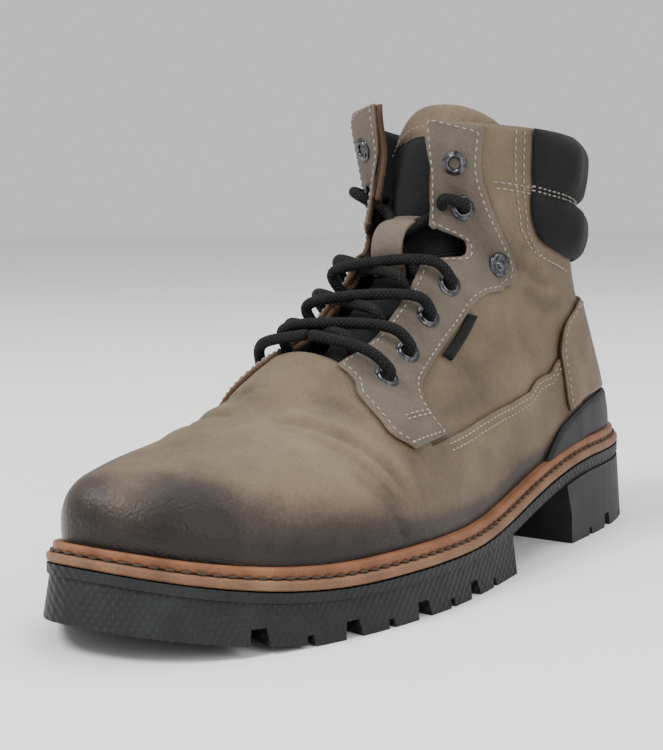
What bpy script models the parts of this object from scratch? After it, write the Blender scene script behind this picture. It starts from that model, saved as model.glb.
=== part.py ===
"""A six-inch lace-up boot, left foot, modelled from its last outward.

Toe at -Y, heel at +Y, outer (lateral) side at +X, sole on Z = 0. Metres.
"""
import math

import bmesh
import bpy
import numpy as np
from mathutils import Matrix

# Driving dimensions
LENGTH = 0.308            # edge of the midsole, toe to heel
BALL_WIDTH = 0.115        # edge of the midsole at its widest
HEEL_HEIGHT = 0.0316      # floor to the midsole at the heel
FOREFOOT_HEIGHT = 0.0156  # floor to the midsole at the ball
TOE_SPRING = 0.0125       # rise of the midsole at the toe tip
TREAD_SPRING = 0.0100     # rise of the tread at the toe tip
RUNNER = 0.0050           # rubber above the heel block and at the waist
FLARE = 0.0015            # tread edge beyond the midsole
BAND = 0.0032             # smooth band round the top of the outsole
LUG_DEPTH = 0.0055
LUG_PITCH = 0.0324
LUG_GAP = 0.0070
HEEL_LENGTH = 0.084
WAIST_END = 0.139         # heel edge to the rear wall of the forefoot tread
MIDSOLE_THICK = 0.0034
WELT_THICK = 0.0034
WELT_INSET = 0.0022
FEATHER_INSET = 0.0068    # midsole edge to the foot of the upper
INSOLE_PROUD = 0.0018
INSOLE_CLEAR = 0.0024     # wall of the upper to the insole's edge
INSTEP_HEIGHT = 0.078     # floor to the foot of the throat
COLLAR_HEIGHT = 0.164
THROAT_GAP = 0.026
WALL = 0.0022
WING_STEP = 0.0012        # vamp and its wings stand over the quarters by this
LEATHER = 0.0016          # thickness of each overlay
RAND_THICK = 0.0020
CUFF_THICK = 0.0070
TAB_THICK = 0.0012
TONGUE_THICK = 0.0060
TONGUE_ROUND = 0.010      # fall of the top corners
LOOP_FROM = 0.49          # keeper's ends, shares of the tongue
LOOP_TO = 0.665
LOOP_ARCH = 0.0095
TONGUE_RISE = 0.009       # tongue above the collar
EYELET_RADIUS = 0.0042
EYELET_WIRE = 0.0011
RIVET_RADIUS = 0.0045
LACE = 0.0040
GAP = 0.0003              # between pieces that touch on the real boot
SEAT = 0.0008             # between curved pieces
TRIM = 0.0010             # upper below the welt's top before it is trimmed level

HALF = BALL_WIDTH / 2

# Sole outline: angle from the toe tip, lateral and medial half width (shares of HALF)
OUTLINE = [
    (0, -0.05, -0.05), (15, 0.29, -0.28), (30, 0.59, -0.54), (45, 0.81, -0.79),
    (60, 0.945, -0.95), (75, 0.985, -0.90), (90, 0.895, -0.75), (105, 0.765, -0.665),
    (120, 0.68, -0.68), (135, 0.605, -0.66), (150, 0.48, -0.55), (165, 0.28, -0.35),
    (180, -0.035, -0.035),
]

# Sections of the upper from toe tip (0) to heel back (1). Each rises from the feather line at an
# angle of the outline to a top point on the ridge or the collar. x in shares of HALF, y in shares
# of LENGTH, z handles in shares of COLLAR_HEIGHT. Top height: up to 1 the instep, 2 the collar.
# along, angle, top x, y, height, medial lift, low handle x, y, z, high handle x, y, z
SECTIONS = [
    (0.00, 0, 0.00, -0.350, 0.69, 0.0, 0.00, -0.010, 0.14, 0.00, -0.10, 0.00),
    (0.10, 22, 0.00, -0.322, 0.70, 0.0, 0.03, -0.008, 0.14, 0.27, -0.07, 0.00),
    (0.20, 40, 0.00, -0.288, 0.72, 0.0, 0.04, -0.004, 0.15, 0.44, -0.04, 0.00),
    (0.30, 56, 0.00, -0.240, 0.77, 0.0, 0.04, 0.000, 0.16, 0.48, -0.02, 0.00),
    (0.39, 68, 0.00, -0.188, 0.88, 0.0, 0.03, 0.000, 0.18, 0.46, 0.00, 0.00),
    (0.47, 78, 0.00, -0.138, 1.04, 0.0, 0.01, 0.000, 0.20, 0.44, 0.00, 0.00),
    (0.54, 86, 0.00, -0.090, 1.17, 0.0, -0.01, 0.002, 0.22, 0.44, 0.01, -0.04),
    (0.60, 93, 0.00, -0.043, 1.31, 0.0, -0.02, 0.004, 0.24, 0.46, 0.02, -0.06),
    (0.66, 100, 0.00, 0.004, 1.48, 0.0, -0.03, 0.005, 0.27, 0.48, 0.02, -0.09),
    (0.71, 105, 0.00, 0.034, 1.68, 0.005, -0.03, 0.005, 0.28, 0.50, 0.02, -0.12),
    (0.76, 110, 0.00, 0.046, 1.86, 0.02, -0.02, 0.004, 0.29, 0.50, 0.02, -0.14),
    (0.80, 114, 0.00, 0.052, 2.01, 0.04, -0.01, 0.002, 0.29, 0.46, 0.01, -0.17),
    (0.84, 119, 0.28, 0.064, 2.01, 0.04, 0.00, 0.000, 0.29, 0.26, 0.02, -0.23),
    (0.88, 128, 0.57, 0.112, 1.99, 0.03, 0.02, 0.000, 0.27, 0.06, 0.02, -0.30),
    (0.92, 140, 0.66, 0.210, 1.965, 0.01, 0.03, -0.001, 0.23, -0.02, -0.005, -0.36),
    (0.96, 156, 0.46, 0.315, 1.935, 0.0, 0.015, -0.003, 0.17, -0.02, -0.044, -0.40),
    (1.00, 180, 0.00, 0.366, 1.92, 0.0, 0.00, -0.004, 0.12, 0.00, -0.062, -0.42),
]

# Throat: along, half gap (share of half THROAT_GAP)
THROAT_START = 0.475
THROAT = [
    (0.475, 1.20), (0.54, 1.26), (0.60, 1.20), (0.66, 1.12),
    (0.71, 1.04), (0.76, 0.96), (0.80, 0.88), (0.86, 0.80),
]

# Upper edge of the vamp's wings: along, share up the section
WING = [
    (0.00, 0.35), (0.43, 0.35), (0.457, 0.320), (0.535, 0.312), (0.607, 0.285),
    (0.692, 0.235), (0.763, 0.210), (0.843, 0.228), (0.862, 0.273), (1.00, 0.30),
]
VAMP_END = 0.46           # where the vamp starts to pass under the eyestay
VAMP_FADE = 0.50

# Eyestay from its foot to the collar: front along, up, back along, up; up 1.2 is the throat's edge.
# Its front edge runs round the cut-out at the ankle.
EYESTAY = [
    (0.455, 0.338, 0.535, 0.328), (0.433, 0.430, 0.529, 0.375), (0.433, 0.503, 0.528, 0.417),
    (0.436, 0.580, 0.529, 0.450), (0.443, 0.652, 0.532, 0.478), (0.463, 0.743, 0.545, 0.520),
    (0.487, 1.2, 0.558, 0.537), (0.510, 1.2, 0.577, 0.550), (0.530, 1.2, 0.595, 0.558),
    (0.565, 1.2, 0.617, 0.564), (0.600, 1.2, 0.640, 0.566), (0.635, 1.2, 0.672, 0.563),
    (0.667, 1.2, 0.700, 0.556), (0.693, 0.753, 0.735, 0.528), (0.720, 0.685, 0.765, 0.490),
    (0.738, 0.662, 0.787, 0.468), (0.750, 0.672, 0.825, 0.480), (0.743, 0.705, 0.843, 0.520),
    (0.735, 0.735, 0.850, 0.568), (0.722, 0.792, 0.851, 0.610), (0.717, 1.2, 0.852, 0.645),
    (0.738, 1.2, 0.852, 0.690), (0.760, 1.2, 0.853, 0.738), (0.785, 1.2, 0.855, 0.790),
    (0.808, 1.2, 0.858, 0.860), (0.825, 1.2, 0.864, 0.930), (0.840, 1.2, 0.870, 1.000),
]

# Cut-out of the wall under it: along, up
NOTCH = [
    (0.690, 0.950), (0.672, 0.830), (0.697, 0.760), (0.722, 0.693), (0.738, 0.670),
    (0.747, 0.680), (0.733, 0.740), (0.720, 0.798), (0.713, 0.850), (0.718, 0.950),
]

# Back panel from its foot to its top: front along, up, up at the back seam
BACK_PANEL = [
    (0.860, 0.105, 0.222), (0.858, 0.155, 0.280), (0.862, 0.265, 0.380),
    (0.868, 0.315, 0.450), (0.885, 0.393, 0.540), (0.925, 0.535, 0.640),
]

# Heel rand: along, up of its top edge
RAND = [(0.785, 0.010), (0.833, 0.068), (0.860, 0.090), (0.947, 0.190), (1.00, 0.205)]

# Padded cuff from its foot to the collar: front along, up, up at the back, thickness share
CUFF = [
    (0.925, 0.680, 0.715, 0.35), (0.895, 0.690, 0.735, 0.75), (0.890, 0.740, 0.775, 1.00),
    (0.893, 0.810, 0.820, 0.90), (0.897, 0.858, 0.855, 0.45), (0.898, 0.900, 0.895, 0.95),
    (0.901, 0.955, 0.955, 0.95), (0.902, 1.000, 1.000, 0.50),
]

# Eyelets from the throat's foot upward: along, up, lift where the leather is hollow
EYELETS = [
    (0.502, 0.620, 0), (0.563, 0.647, 0), (0.623, 0.680, 0),
    (0.680, 0.675, 0), (0.797, 0.695, 0.0020), (0.837, 0.863, 0),
]
RIVET_AT = (0.808, 0.530, 0.0014)
TAB = [(0.607, 0.545, 0.615, 0.505), (0.645, 0.552, 0.655, 0.514), (0.682, 0.556, 0.695, 0.520)]

# Tongue from its foot under the vamp to its top: y (share of LENGTH), height (share of its top),
# half width, fall of its edges, lean to the outer side (shares of HALF)
TONGUE = [
    (-0.181, 0.370, 0.31, 0.08, 0.02), (-0.129, 0.420, 0.31, 0.13, 0.02), (-0.075, 0.463, 0.31, 0.16, 0.02),
    (-0.009, 0.564, 0.31, 0.18, 0.02), (0.030, 0.626, 0.31, 0.22, 0.02), (0.063, 0.722, 0.32, 0.25, 0.03),
    (0.073, 0.798, 0.38, 0.28, 0.04), (0.086, 0.879, 0.43, 0.28, 0.05), (0.115, 1.000, 0.49, 0.28, 0.08),
]


def spline(knots, values, at, period):
    """Periodic natural cubic spline through rows of values."""
    x = np.asarray(knots, float)
    y = np.asarray(values, float)
    x = np.concatenate([x - period, x, x + period])
    y = np.concatenate([y, y, y])
    h = np.diff(x)
    n = len(x)
    i = np.arange(1, n - 1)
    lhs = np.eye(n)
    rhs = np.zeros_like(y)
    lhs[i, i - 1] = h[:-1]
    lhs[i, i] = 2 * (h[:-1] + h[1:])
    lhs[i, i + 1] = h[1:]
    slope = np.diff(y, axis=0) / h[:, None]
    rhs[1:-1] = 6 * np.diff(slope, axis=0)
    m = np.linalg.solve(lhs, rhs)
    k = np.clip(np.searchsorted(x, at, side="right") - 1, 0, n - 2)
    t = (at - x[k])[..., None]
    hk = h[k][..., None]
    s = slope[k] - hk * (2 * m[k] + m[k + 1]) / 6
    return y[k] + t * (s + t * (m[k] / 2 + t * (m[k + 1] - m[k]) / (6 * hk)))


def smooth(t):
    """Soft step from 0 to 1."""
    t = np.clip(t, 0, 1)
    return t * t * (3 - 2 * t)


def outline_table():
    """Fine outline of the midsole with its outward normals."""
    row = np.array(OUTLINE, float)
    knots = np.radians(np.concatenate([row[:, 0], 360 - row[-2:0:-1, 0]]))
    share = np.concatenate([row[:, 1], row[-2:0:-1, 2]])[:, None]
    angle = np.linspace(0, 2 * np.pi, 721)
    x = spline(knots, share, angle, 2 * np.pi)[:, 0]
    x = HALF * (2 * x - x.max() - x.min()) / (x.max() - x.min())
    point = np.stack([x, -LENGTH / 2 * np.cos(angle)], -1)[:-1]
    run = np.roll(point, -1, 0) - np.roll(point, 1, 0)
    normal = np.stack([run[:, 1], -run[:, 0]], -1)
    normal /= np.linalg.norm(normal, axis=1, keepdims=True)
    close = np.arange(721) % 720
    return angle, point[close], normal[close]


EDGE_ANGLE, EDGE_POINT, EDGE_NORMAL = outline_table()


def outline(angle, grow=0.0):
    """Point of the midsole's edge at an angle (lateral side 0 to pi), grown outward."""
    a = np.mod(angle, 2 * np.pi)
    grown = EDGE_POINT + grow * EDGE_NORMAL
    return np.stack([np.interp(a, EDGE_ANGLE, grown[:, i]) for i in (0, 1)], -1)


def from_heel(y):
    return 0.5 - y / LENGTH


def sole_line(y):
    """Height of the midsole's underside."""
    s = from_heel(y)
    rise = 1 - smooth((s - 0.17) / 0.40)
    spring = np.clip((s - 0.74) / 0.26, 0, 1.2) ** 2
    return FOREFOOT_HEIGHT + (HEEL_HEIGHT - FOREFOOT_HEIGHT) * rise + TOE_SPRING * spring


def tread_line(y):
    """Height of the tread above the floor: flat, then sprung at the toe."""
    return TREAD_SPRING * np.clip((from_heel(y) - 0.80) / 0.20, 0, 1.2) ** 1.5


def welt_top(y):
    return sole_line(y) + MIDSOLE_THICK + GAP + WELT_THICK


def centre(y):
    """Middle line of the last, seen from above."""
    return HALF * (-0.035 - 0.025 * smooth((from_heel(y) - 0.55) / 0.45))


def section_rows():
    """Lateral rows and their medial mirror, as one periodic table of period 2."""
    lateral = np.array(SECTIONS, float)
    lateral[:, 1] -= 180 * lateral[:, 0]
    medial = lateral[-2:0:-1].copy()
    medial[:, 0] = 2 - medial[:, 0]
    medial[:, [1, 2, 6, 9]] *= -1
    lateral[:, 5] = 0
    row = np.concatenate([lateral, medial])
    return row[:, 0], row[:, 1:]


SECTION_AT, SECTION_ROW = section_rows()


def form(along, up):
    """Point of the closed form of the upper: along 0 toe, 1 heel, 2 toe again on the medial side."""
    q = spline(SECTION_AT, SECTION_ROW, np.mod(along, 2), 2)
    foot = outline(np.radians(q[..., 0] + 180 * np.mod(along, 2)), -FEATHER_INSET)
    b = np.stack([foot[..., 0], foot[..., 1], welt_top(foot[..., 1]) - TRIM], -1)
    top_y = LENGTH * q[..., 2]
    low = np.minimum(q[..., 3], 1)
    high = q[..., 3] - low
    top_z = INSTEP_HEIGHT * low + (COLLAR_HEIGHT - INSTEP_HEIGHT) * high + COLLAR_HEIGHT * q[..., 4]
    t = np.stack([centre(top_y) + HALF * q[..., 1], top_y, top_z], -1)
    size = np.array([HALF, LENGTH, COLLAR_HEIGHT])
    c1 = b + q[..., 5:8] * size
    c2 = t + q[..., 8:11] * size
    v = up[..., None]
    w = 1 - v
    return w ** 3 * b + 3 * v * w ** 2 * c1 + 3 * v ** 2 * w * c2 + v ** 3 * t


def skin(along, up, grow=0.0):
    """Point of the upper's outer face, moved out along its normal by grow."""
    along, up, grow = np.broadcast_arrays(np.asarray(along, float), up, grow)
    inner = np.minimum(up, 0.985)
    step = 0.004
    du = form(along + step, inner) - form(along - step, inner)
    dv = form(along, inner + step) - form(along, inner - step)
    n = np.cross(du, dv)
    ahead = np.abs(along - 1) > 1 - THROAT_START - 0.001
    n[..., 0] *= np.where(ahead, np.clip((1 - up) / 0.08, 0, 1), 1)
    n[..., 2] *= np.clip(up / 0.05, 0, 1)
    n /= np.linalg.norm(n, axis=-1, keepdims=True)
    return form(along, up) + grow[..., None] * n, n


def throat_edge(along):
    """Share up the section where the throat is cut; 1 outside the throat."""
    u = np.where(along > 1, 2 - along, along)
    row = np.array(THROAT)
    gap = np.interp(u, row[:, 0], row[:, 1]) * THROAT_GAP / 2
    low = np.full_like(u, 0.3)
    high = np.ones_like(u)
    for _ in range(24):
        v = (low + high) / 2
        p = form(along, v)
        wide = np.abs(p[..., 0] - centre(p[..., 1])) > gap
        low = np.where(wide, v, low)
        high = np.where(wide, high, v)
    return np.where((u < THROAT_START) | (u > 0.9), 1.0, high)


def throat_corner():
    """Along the collar, where the throat's edge meets it."""
    u = np.linspace(0.80, 0.88, 81)
    return u[np.argmax(throat_edge(u) > 0.9999)]


def wing_edge(along):
    u = np.where(along > 1, 2 - along, along)
    row = np.array(WING)
    return np.interp(u, row[:, 0], row[:, 1])


def vamp_lift(along):
    """Lift of the whole section: the vamp's own thickness, gone under the eyestay."""
    u = np.where(along > 1, 2 - along, along)
    return WING_STEP * (1 - np.clip((u - VAMP_END) / (VAMP_FADE - VAMP_END), 0, 1))


def wing_lift(along):
    """Lift below the wing's edge, gone under the back panel."""
    u = np.where(along > 1, 2 - along, along)
    return WING_STEP * (1 - np.clip((u - 0.875) / 0.02, 0, 1))


collection = bpy.data.collections.new("lace_up_boot")
cutters = bpy.data.collections.new("cutters")
MATERIALS = {}


def clear_scene():
    for obj in list(bpy.data.objects):
        bpy.data.objects.remove(obj, do_unlink=True)
    for group in (collection, cutters):
        bpy.context.scene.collection.children.link(group)


def material(name, colour, roughness, metallic=0.0):
    mat = bpy.data.materials.new(name)
    mat.use_nodes = True
    shader = mat.node_tree.nodes["Principled BSDF"]
    shader.inputs["Base Color"].default_value = (*colour, 1)
    shader.inputs["Roughness"].default_value = roughness
    shader.inputs["Metallic"].default_value = metallic
    MATERIALS[name] = mat


def add(name, verts, faces, mat, group=collection, turn=True):
    """Object from points and faces, with doubles merged; turn points a closed form's faces outward."""
    mesh = bpy.data.meshes.new(name)
    mesh.from_pydata(np.asarray(verts).tolist(), [], [list(f) for f in faces])
    bm = bmesh.new()
    bm.from_mesh(mesh)
    bmesh.ops.remove_doubles(bm, verts=bm.verts, dist=0.00004)
    bmesh.ops.dissolve_degenerate(bm, edges=bm.edges, dist=0.00001)
    if turn:
        bmesh.ops.recalc_face_normals(bm, faces=bm.faces)
    bm.to_mesh(mesh)
    bm.free()
    mesh.validate()
    obj = bpy.data.objects.new(name, mesh)
    group.objects.link(obj)
    if mat:
        mesh.materials.append(MATERIALS[mat])
    mesh.shade_smooth()
    mesh.set_sharp_from_angle(angle=math.radians(40))
    return obj


def quads(rows, cols, start=0):
    """Faces of a grid of rows by cols points."""
    i, j = np.meshgrid(np.arange(rows - 1), np.arange(cols - 1), indexing="ij")
    a = (start + i * cols + j).ravel()
    return np.stack([a, a + 1, a + cols + 1, a + cols], -1).tolist()


def slab(name, inner, outer, mat, group=collection):
    """Closed plate between two grids of the same size."""
    rows, cols = inner.shape[:2]
    half = rows * cols
    verts = np.concatenate([inner.reshape(-1, 3), outer.reshape(-1, 3)])
    faces = quads(rows, cols) + quads(rows, cols, half)
    grid = np.arange(half).reshape(rows, cols)
    rim = np.concatenate([grid[0], grid[1:, -1], grid[-1, -2::-1], grid[-2:0:-1, 0]])
    for a, b in zip(rim, np.roll(rim, -1)):
        faces.append([a, b, b + half, a + half])
    return add(name, verts, faces, mat, group)


def overlay(name, along, up, seat, thickness, mat):
    """Sheet on the upper at a seat height above its face, thickened outward."""
    points, normals = skin(along, up, seat)
    faces = np.array(quads(*points.shape[:2]))
    a, b, c = points.reshape(-1, 3)[faces[len(faces) // 2][:3]]
    if np.dot(np.cross(b - a, c - a), normals.reshape(-1, 3)[faces[len(faces) // 2][0]]) < 0:
        faces = faces[:, ::-1]
    sheet = add(name, points.reshape(-1, 3), faces.tolist(), mat, turn=False)
    thicken(sheet, thickness, 1.0)
    return sheet


def thicken(obj, thickness, side):
    wall = obj.modifiers.new("wall", "SOLIDIFY")
    wall.thickness = thickness
    wall.offset = side


def rows_of(table, count):
    """Table resampled to count rows, straight between its own."""
    row = np.array(table, float)
    at = np.linspace(0, len(row) - 1, count)
    return np.stack([np.interp(at, np.arange(len(row)), row[:, i]) for i in range(row.shape[1])], -1)


def ring(grow, height, extra=()):
    """Closed loop round the sole at a growth and a height function of y.

    Every five degrees, and at any extra distances along the boot.
    """
    more = [math.acos(-2 * y / LENGTH) for y in extra]
    half = np.sort(np.concatenate([np.linspace(0, np.pi, 37), more]))
    angle = np.concatenate([half, 2 * np.pi - half[-2:0:-1]])
    edge = outline(angle)
    grown = grow(edge[:, 1])[:, None] if callable(grow) else grow
    xy = edge + (outline(angle, 0.001) - edge) * grown / 0.001
    return np.column_stack([xy, height(xy[:, 1])])


def stack(name, rings, mat, group=collection):
    """Solid through loops one above another, capped across from side to side."""
    count = len(rings[0])
    verts = np.concatenate(rings)
    faces = []
    for k in range(len(rings) - 1):
        a = k * count + np.arange(count)
        b = k * count + np.roll(np.arange(count), -1)
        faces += np.stack([a, b, b + count, a + count], -1).tolist()
    for start in (0, (len(rings) - 1) * count):
        for k in range(count // 2):
            left, right = [start + k, start + k + 1], [start + (count - k - 1) % count, start + (count - k) % count]
            faces.append([left[0], left[1], right[0], right[1]] if k else [left[0], left[1], right[0]])
        faces[-1] = [start + count // 2 - 1, start + count // 2, start + count // 2 + 1]
    return add(name, verts, faces, mat, group)


def hoop(name, rings, mat):
    """Closed band through loops, the last joined to the first."""
    count = len(rings[0])
    verts = np.concatenate(rings)
    faces = []
    for k in range(len(rings)):
        n = (k + 1) % len(rings)
        a = np.arange(count)
        b = np.roll(a, -1)
        faces += np.stack([k * count + a, k * count + b, n * count + b, n * count + a], -1).tolist()
    return add(name, verts, faces, mat)


def prism(name, profile, half_width):
    """Cutter: a side-view outline (y, z) run across the boot."""
    n = len(profile)
    verts = [(-half_width, y, z) for y, z in profile] + [(half_width, y, z) for y, z in profile]
    faces = [list(range(n)), list(range(2 * n - 1, n - 1, -1))]
    faces += [[i, (i + 1) % n, (i + 1) % n + n, i + n] for i in range(n)]
    return as_cutter(add(name, verts, faces, None, cutters))


def as_cutter(obj):
    obj.hide_render = True
    obj.display_type = "WIRE"
    return obj


def cut(obj, tool, operation="DIFFERENCE"):
    mod = obj.modifiers.new(tool.name, "BOOLEAN")
    mod.operation = operation
    mod.object = tool
    mod.solver = "EXACT"


def lug_cutter(name, stations, depth_in, small_stations, centre_cuts):
    """Wedges that open the tread's edge at distances from the heel, on both sides."""
    bm = bmesh.new()

    def wedge(at, inward, width, height, length):
        """Trapezoid block standing on the floor, wider below."""
        side = np.array([-inward[1], inward[0]])
        made = bmesh.ops.create_cube(bm, size=1.0)["verts"]
        for v in made:
            top = v.co.z > 0
            w = width * (0.36 if top else 0.62)
            flat = at + inward * (v.co.y * length) + side * (v.co.x * 2 * w)
            v.co = (flat[0], flat[1], height if top else -0.004)

    for turn in (1, -1):
        for s, width, reach, height in [(s, LUG_GAP, depth_in, LUG_DEPTH) for s in stations] + [
                (s, LUG_GAP * 0.45, 0.010, LUG_DEPTH * 0.55) for s in small_stations]:
            angle = turn * math.acos(max(-1.0, min(1.0, 2 * s / LENGTH - 1)))
            at = outline(np.array(angle))
            ahead = outline(np.array(angle + 0.02)) - outline(np.array(angle - 0.02))
            inward = np.array([-ahead[1], ahead[0]]) * turn
            inward /= np.linalg.norm(inward)
            if np.dot(inward, -at * [1, 0]) < 0:
                inward = -inward
            lift = float(tread_line(at[1]))
            wedge(at + inward * (reach / 2 - 0.003), inward, width, height + lift, reach + 0.006)
    for x, y, width, length, turn in centre_cuts:
        wedge(np.array([x, y]), np.array([math.sin(turn), math.cos(turn)]), width, LUG_DEPTH, length)
    bmesh.ops.recalc_face_normals(bm, faces=bm.faces)
    mesh = bpy.data.meshes.new(name)
    bm.to_mesh(mesh)
    bm.free()
    obj = bpy.data.objects.new(name, mesh)
    cutters.objects.link(obj)
    return as_cutter(obj)


def runner_line(front, gap):
    """Underside of the runner from a front edge to beyond the heel, as (y, z) points."""
    ys = np.linspace(front, LENGTH / 2 + 0.02, 16)
    return [(y, float(sole_line(y)) - GAP - RUNNER - gap) for y in ys]


def build_outsole():
    """Runner and forefoot tread: the full slab less what lies under waist and heel."""
    front = LENGTH / 2 - WAIST_END
    wall = (front, front + 0.0015)
    top = lambda y: sole_line(y) - GAP
    low = lambda y: np.where(y < front + 0.0008, tread_line(y), top(y) - RUNNER)
    flare = lambda y: np.where(y < front + 0.0008, FLARE, -0.0008)
    sole = stack("outsole", [
        ring(0.0, top, wall),
        ring(0.0, lambda y: top(y) - BAND, wall),
        ring(-0.0008, lambda y: top(y) - BAND - 0.0004, wall),
        ring(flare, low, wall),
    ], "rubber")
    stations = [LENGTH - 0.035 - i * LUG_PITCH for i in range(4)]
    between = [s - LUG_PITCH / 2 for s in stations]
    middle = [LENGTH / 2 - s for s in stations]
    across = [(0.0, y + LUG_PITCH / 2, 0.005, 0.028, math.pi / 2) for y in middle[:-1]]
    cut(sole, lug_cutter("tread_cutter", stations, 0.024, between, across))
    along = [(side * 0.015, (middle[0] + middle[-1]) / 2, 0.006, 3.4 * LUG_PITCH, 0.0) for side in (1, -1)]
    cut(sole, lug_cutter("channel_cutter", [], 0.0, [], along))


def build_heel_block():
    """Stacked rubber heel under the runner."""
    heel = stack("heel_block", [
        ring(-0.0004, lambda y: HEEL_HEIGHT + 0 * y),
        ring(FLARE, lambda y: 0 * y),
    ], "rubber")
    front = LENGTH / 2 - HEEL_LENGTH
    top = runner_line(front - 0.001, GAP)
    profile = [(front, -0.01), (front + 0.002, top[0][1] / 2)] + top + [(top[-1][0], -0.01)]
    cut(heel, prism("heel_cutter", profile, BALL_WIDTH), "INTERSECT")
    cuts = lug_cutter("heel_tread_cutter", [0.045], 0.030, [0.064, 0.024], [])
    cut(heel, cuts)


def build_midsole():
    stack("midsole", [
        ring(-0.0010, lambda y: sole_line(y) + MIDSOLE_THICK),
        ring(0.0, lambda y: sole_line(y) + MIDSOLE_THICK * 0.6),
        ring(-0.0006, sole_line),
    ], "midsole_leather")


def build_welt():
    """Leather strip between midsole and upper, with its outer top edge eased."""
    low = lambda y: sole_line(y) + MIDSOLE_THICK + GAP
    hole = -(FEATHER_INSET + WALL + 0.0010)
    hoop("welt", [
        ring(-WELT_INSET, low),
        ring(-WELT_INSET - 0.0010, welt_top),
        ring(hole, welt_top),
        ring(hole, low),
    ], "welt_leather")


def build_insole():
    grow = -(FEATHER_INSET + WALL + INSOLE_CLEAR)
    stack("insole", [
        ring(grow, lambda y: welt_top(y) + INSOLE_PROUD),
        ring(grow, lambda y: sole_line(y) + MIDSOLE_THICK + GAP),
    ], "insole_fabric")


def upper_grid():
    """Columns along one side of the upper and the rows up it."""
    corner = throat_corner()
    along = np.array([
        0, 0.02, 0.04, 0.065, 0.09, 0.12, 0.15, 0.19, 0.23, 0.27, 0.31, 0.35, 0.39, 0.425, VAMP_END,
        THROAT_START, VAMP_FADE, 0.53, 0.56, 0.59, 0.62, 0.65, 0.68, 0.71, 0.735, 0.76, 0.785, 0.81,
        corner, 0.85, 0.868, 0.885, 0.90, 0.914, 0.928, 0.94, 0.95, 0.96, 0.97, 0.98, 0.99, 1.0])
    return along


def grid_out(rows, cols, start):
    """Faces of a grid that runs along the boot and then up it, facing out."""
    return [face[::-1] for face in quads(rows, cols, start)]


def build_upper():
    """One hollow wall: feather line to throat and collar, open at both and below."""
    side = upper_grid()
    first = THROAT_START + 0.0001
    top = throat_edge(np.maximum(side, first))
    wing = wing_edge(side)
    below = np.array([0, 0.5, 1.0])
    above = np.linspace(0, 1, 8)
    over = np.array([1 / 3, 2 / 3, 1.0])
    verts = []
    faces = []
    for turn in (1, -1):
        along = side if turn > 0 else 2 - side
        up = np.concatenate([
            wing[:, None] * below, wing[:, None] + 0.004 + (top - wing - 0.004)[:, None] * above], 1)
        lift = np.where(np.arange(up.shape[1]) < len(below), wing_lift(along)[:, None], vamp_lift(along)[:, None])
        start = len(verts)
        verts += skin(along[:, None], up, lift)[0].reshape(-1, 3).tolist()
        faces += grid_out(*up.shape, start) if turn > 0 else quads(*up.shape, start)
        front = side <= THROAT_START
        last = top[front][:, None]
        up = np.concatenate([last, last + (1 - last) * over], 1)
        start = len(verts)
        verts += skin(along[front][:, None], up, vamp_lift(along[front])[:, None])[0].reshape(-1, 3).tolist()
        faces += grid_out(*up.shape, start) if turn > 0 else quads(*up.shape, start)
    upper = add("upper", verts, faces, "upper_leather", turn=False)
    thicken(upper, WALL, -1.0)
    cut(upper, foot_cutter())
    for turn in (1, -1):
        cut(upper, notch_cutter(turn))


def foot_cutter():
    """Block under the upper whose top is the welt's, raised by the gap."""
    if "foot_cutter" in bpy.data.objects:
        return bpy.data.objects["foot_cutter"]
    return as_cutter(stack("foot_cutter", [
        ring(0.0, lambda y: welt_top(y) + GAP), ring(0.0, lambda y: 0 * y)], None, cutters))


def notch_cutter(turn):
    name = "notch_cutter_" + ("lateral" if turn > 0 else "medial")
    if name in bpy.data.objects:
        return bpy.data.objects[name]
    row = np.array(NOTCH)
    along = row[:, 0] if turn > 0 else 2 - row[:, 0]
    low = skin(along, row[:, 1], -0.007)[0]
    high = skin(along, row[:, 1], 0.006)[0]
    n = len(row)
    faces = [list(range(n)), list(range(2 * n - 1, n - 1, -1))]
    faces += [[i, (i + 1) % n, (i + 1) % n + n, i + n] for i in range(n)]
    return as_cutter(add(name, np.concatenate([low, high]), faces, None, cutters))


def build_eyestay(turn):
    """Leather facing along the throat, over the foot of the vamp."""
    name = "eyestay_" + ("lateral" if turn > 0 else "medial")
    row = np.array(EYESTAY)
    share = np.linspace(0, 1, 6)
    front_up = np.minimum(row[:, 1], throat_edge(np.maximum(row[:, 0], THROAT_START + 0.0001)))
    u = row[:, 0][:, None] + (row[:, 2] - row[:, 0])[:, None] * share
    v = front_up[:, None] + (row[:, 3] - front_up)[:, None] * share
    overlay(name, u if turn > 0 else 2 - u, v, SEAT + vamp_lift(u), LEATHER, "eyestay_leather")


def build_back_panel():
    """Counter panel round the heel."""
    row = rows_of(BACK_PANEL, 7)
    share = np.linspace(-1, 1, 25)
    u = 1 - (1 - row[:, 0])[:, None] * np.abs(share)
    v = row[:, 2][:, None] + (row[:, 1] - row[:, 2])[:, None] * np.abs(share) ** 1.4
    along = np.where(share < 0, u, 2 - u)
    overlay("back_panel", along, v, SEAT + wing_lift(along), LEATHER, "upper_leather")


def build_rand():
    """Rubber strip round the foot of the heel."""
    row = np.array(RAND)
    share = np.linspace(-1, 1, 35)
    u = 1 - (1 - RAND[0][0]) * np.abs(share)
    top = np.interp(u, row[:, 0], row[:, 1])
    v = top[None, :] * np.linspace(0, 1, 3)[:, None]
    along = np.broadcast_to(np.where(share < 0, u, 2 - u), v.shape)
    cut(overlay("heel_rand", along, v, SEAT + wing_lift(along), RAND_THICK, "rubber"), foot_cutter())


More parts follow.
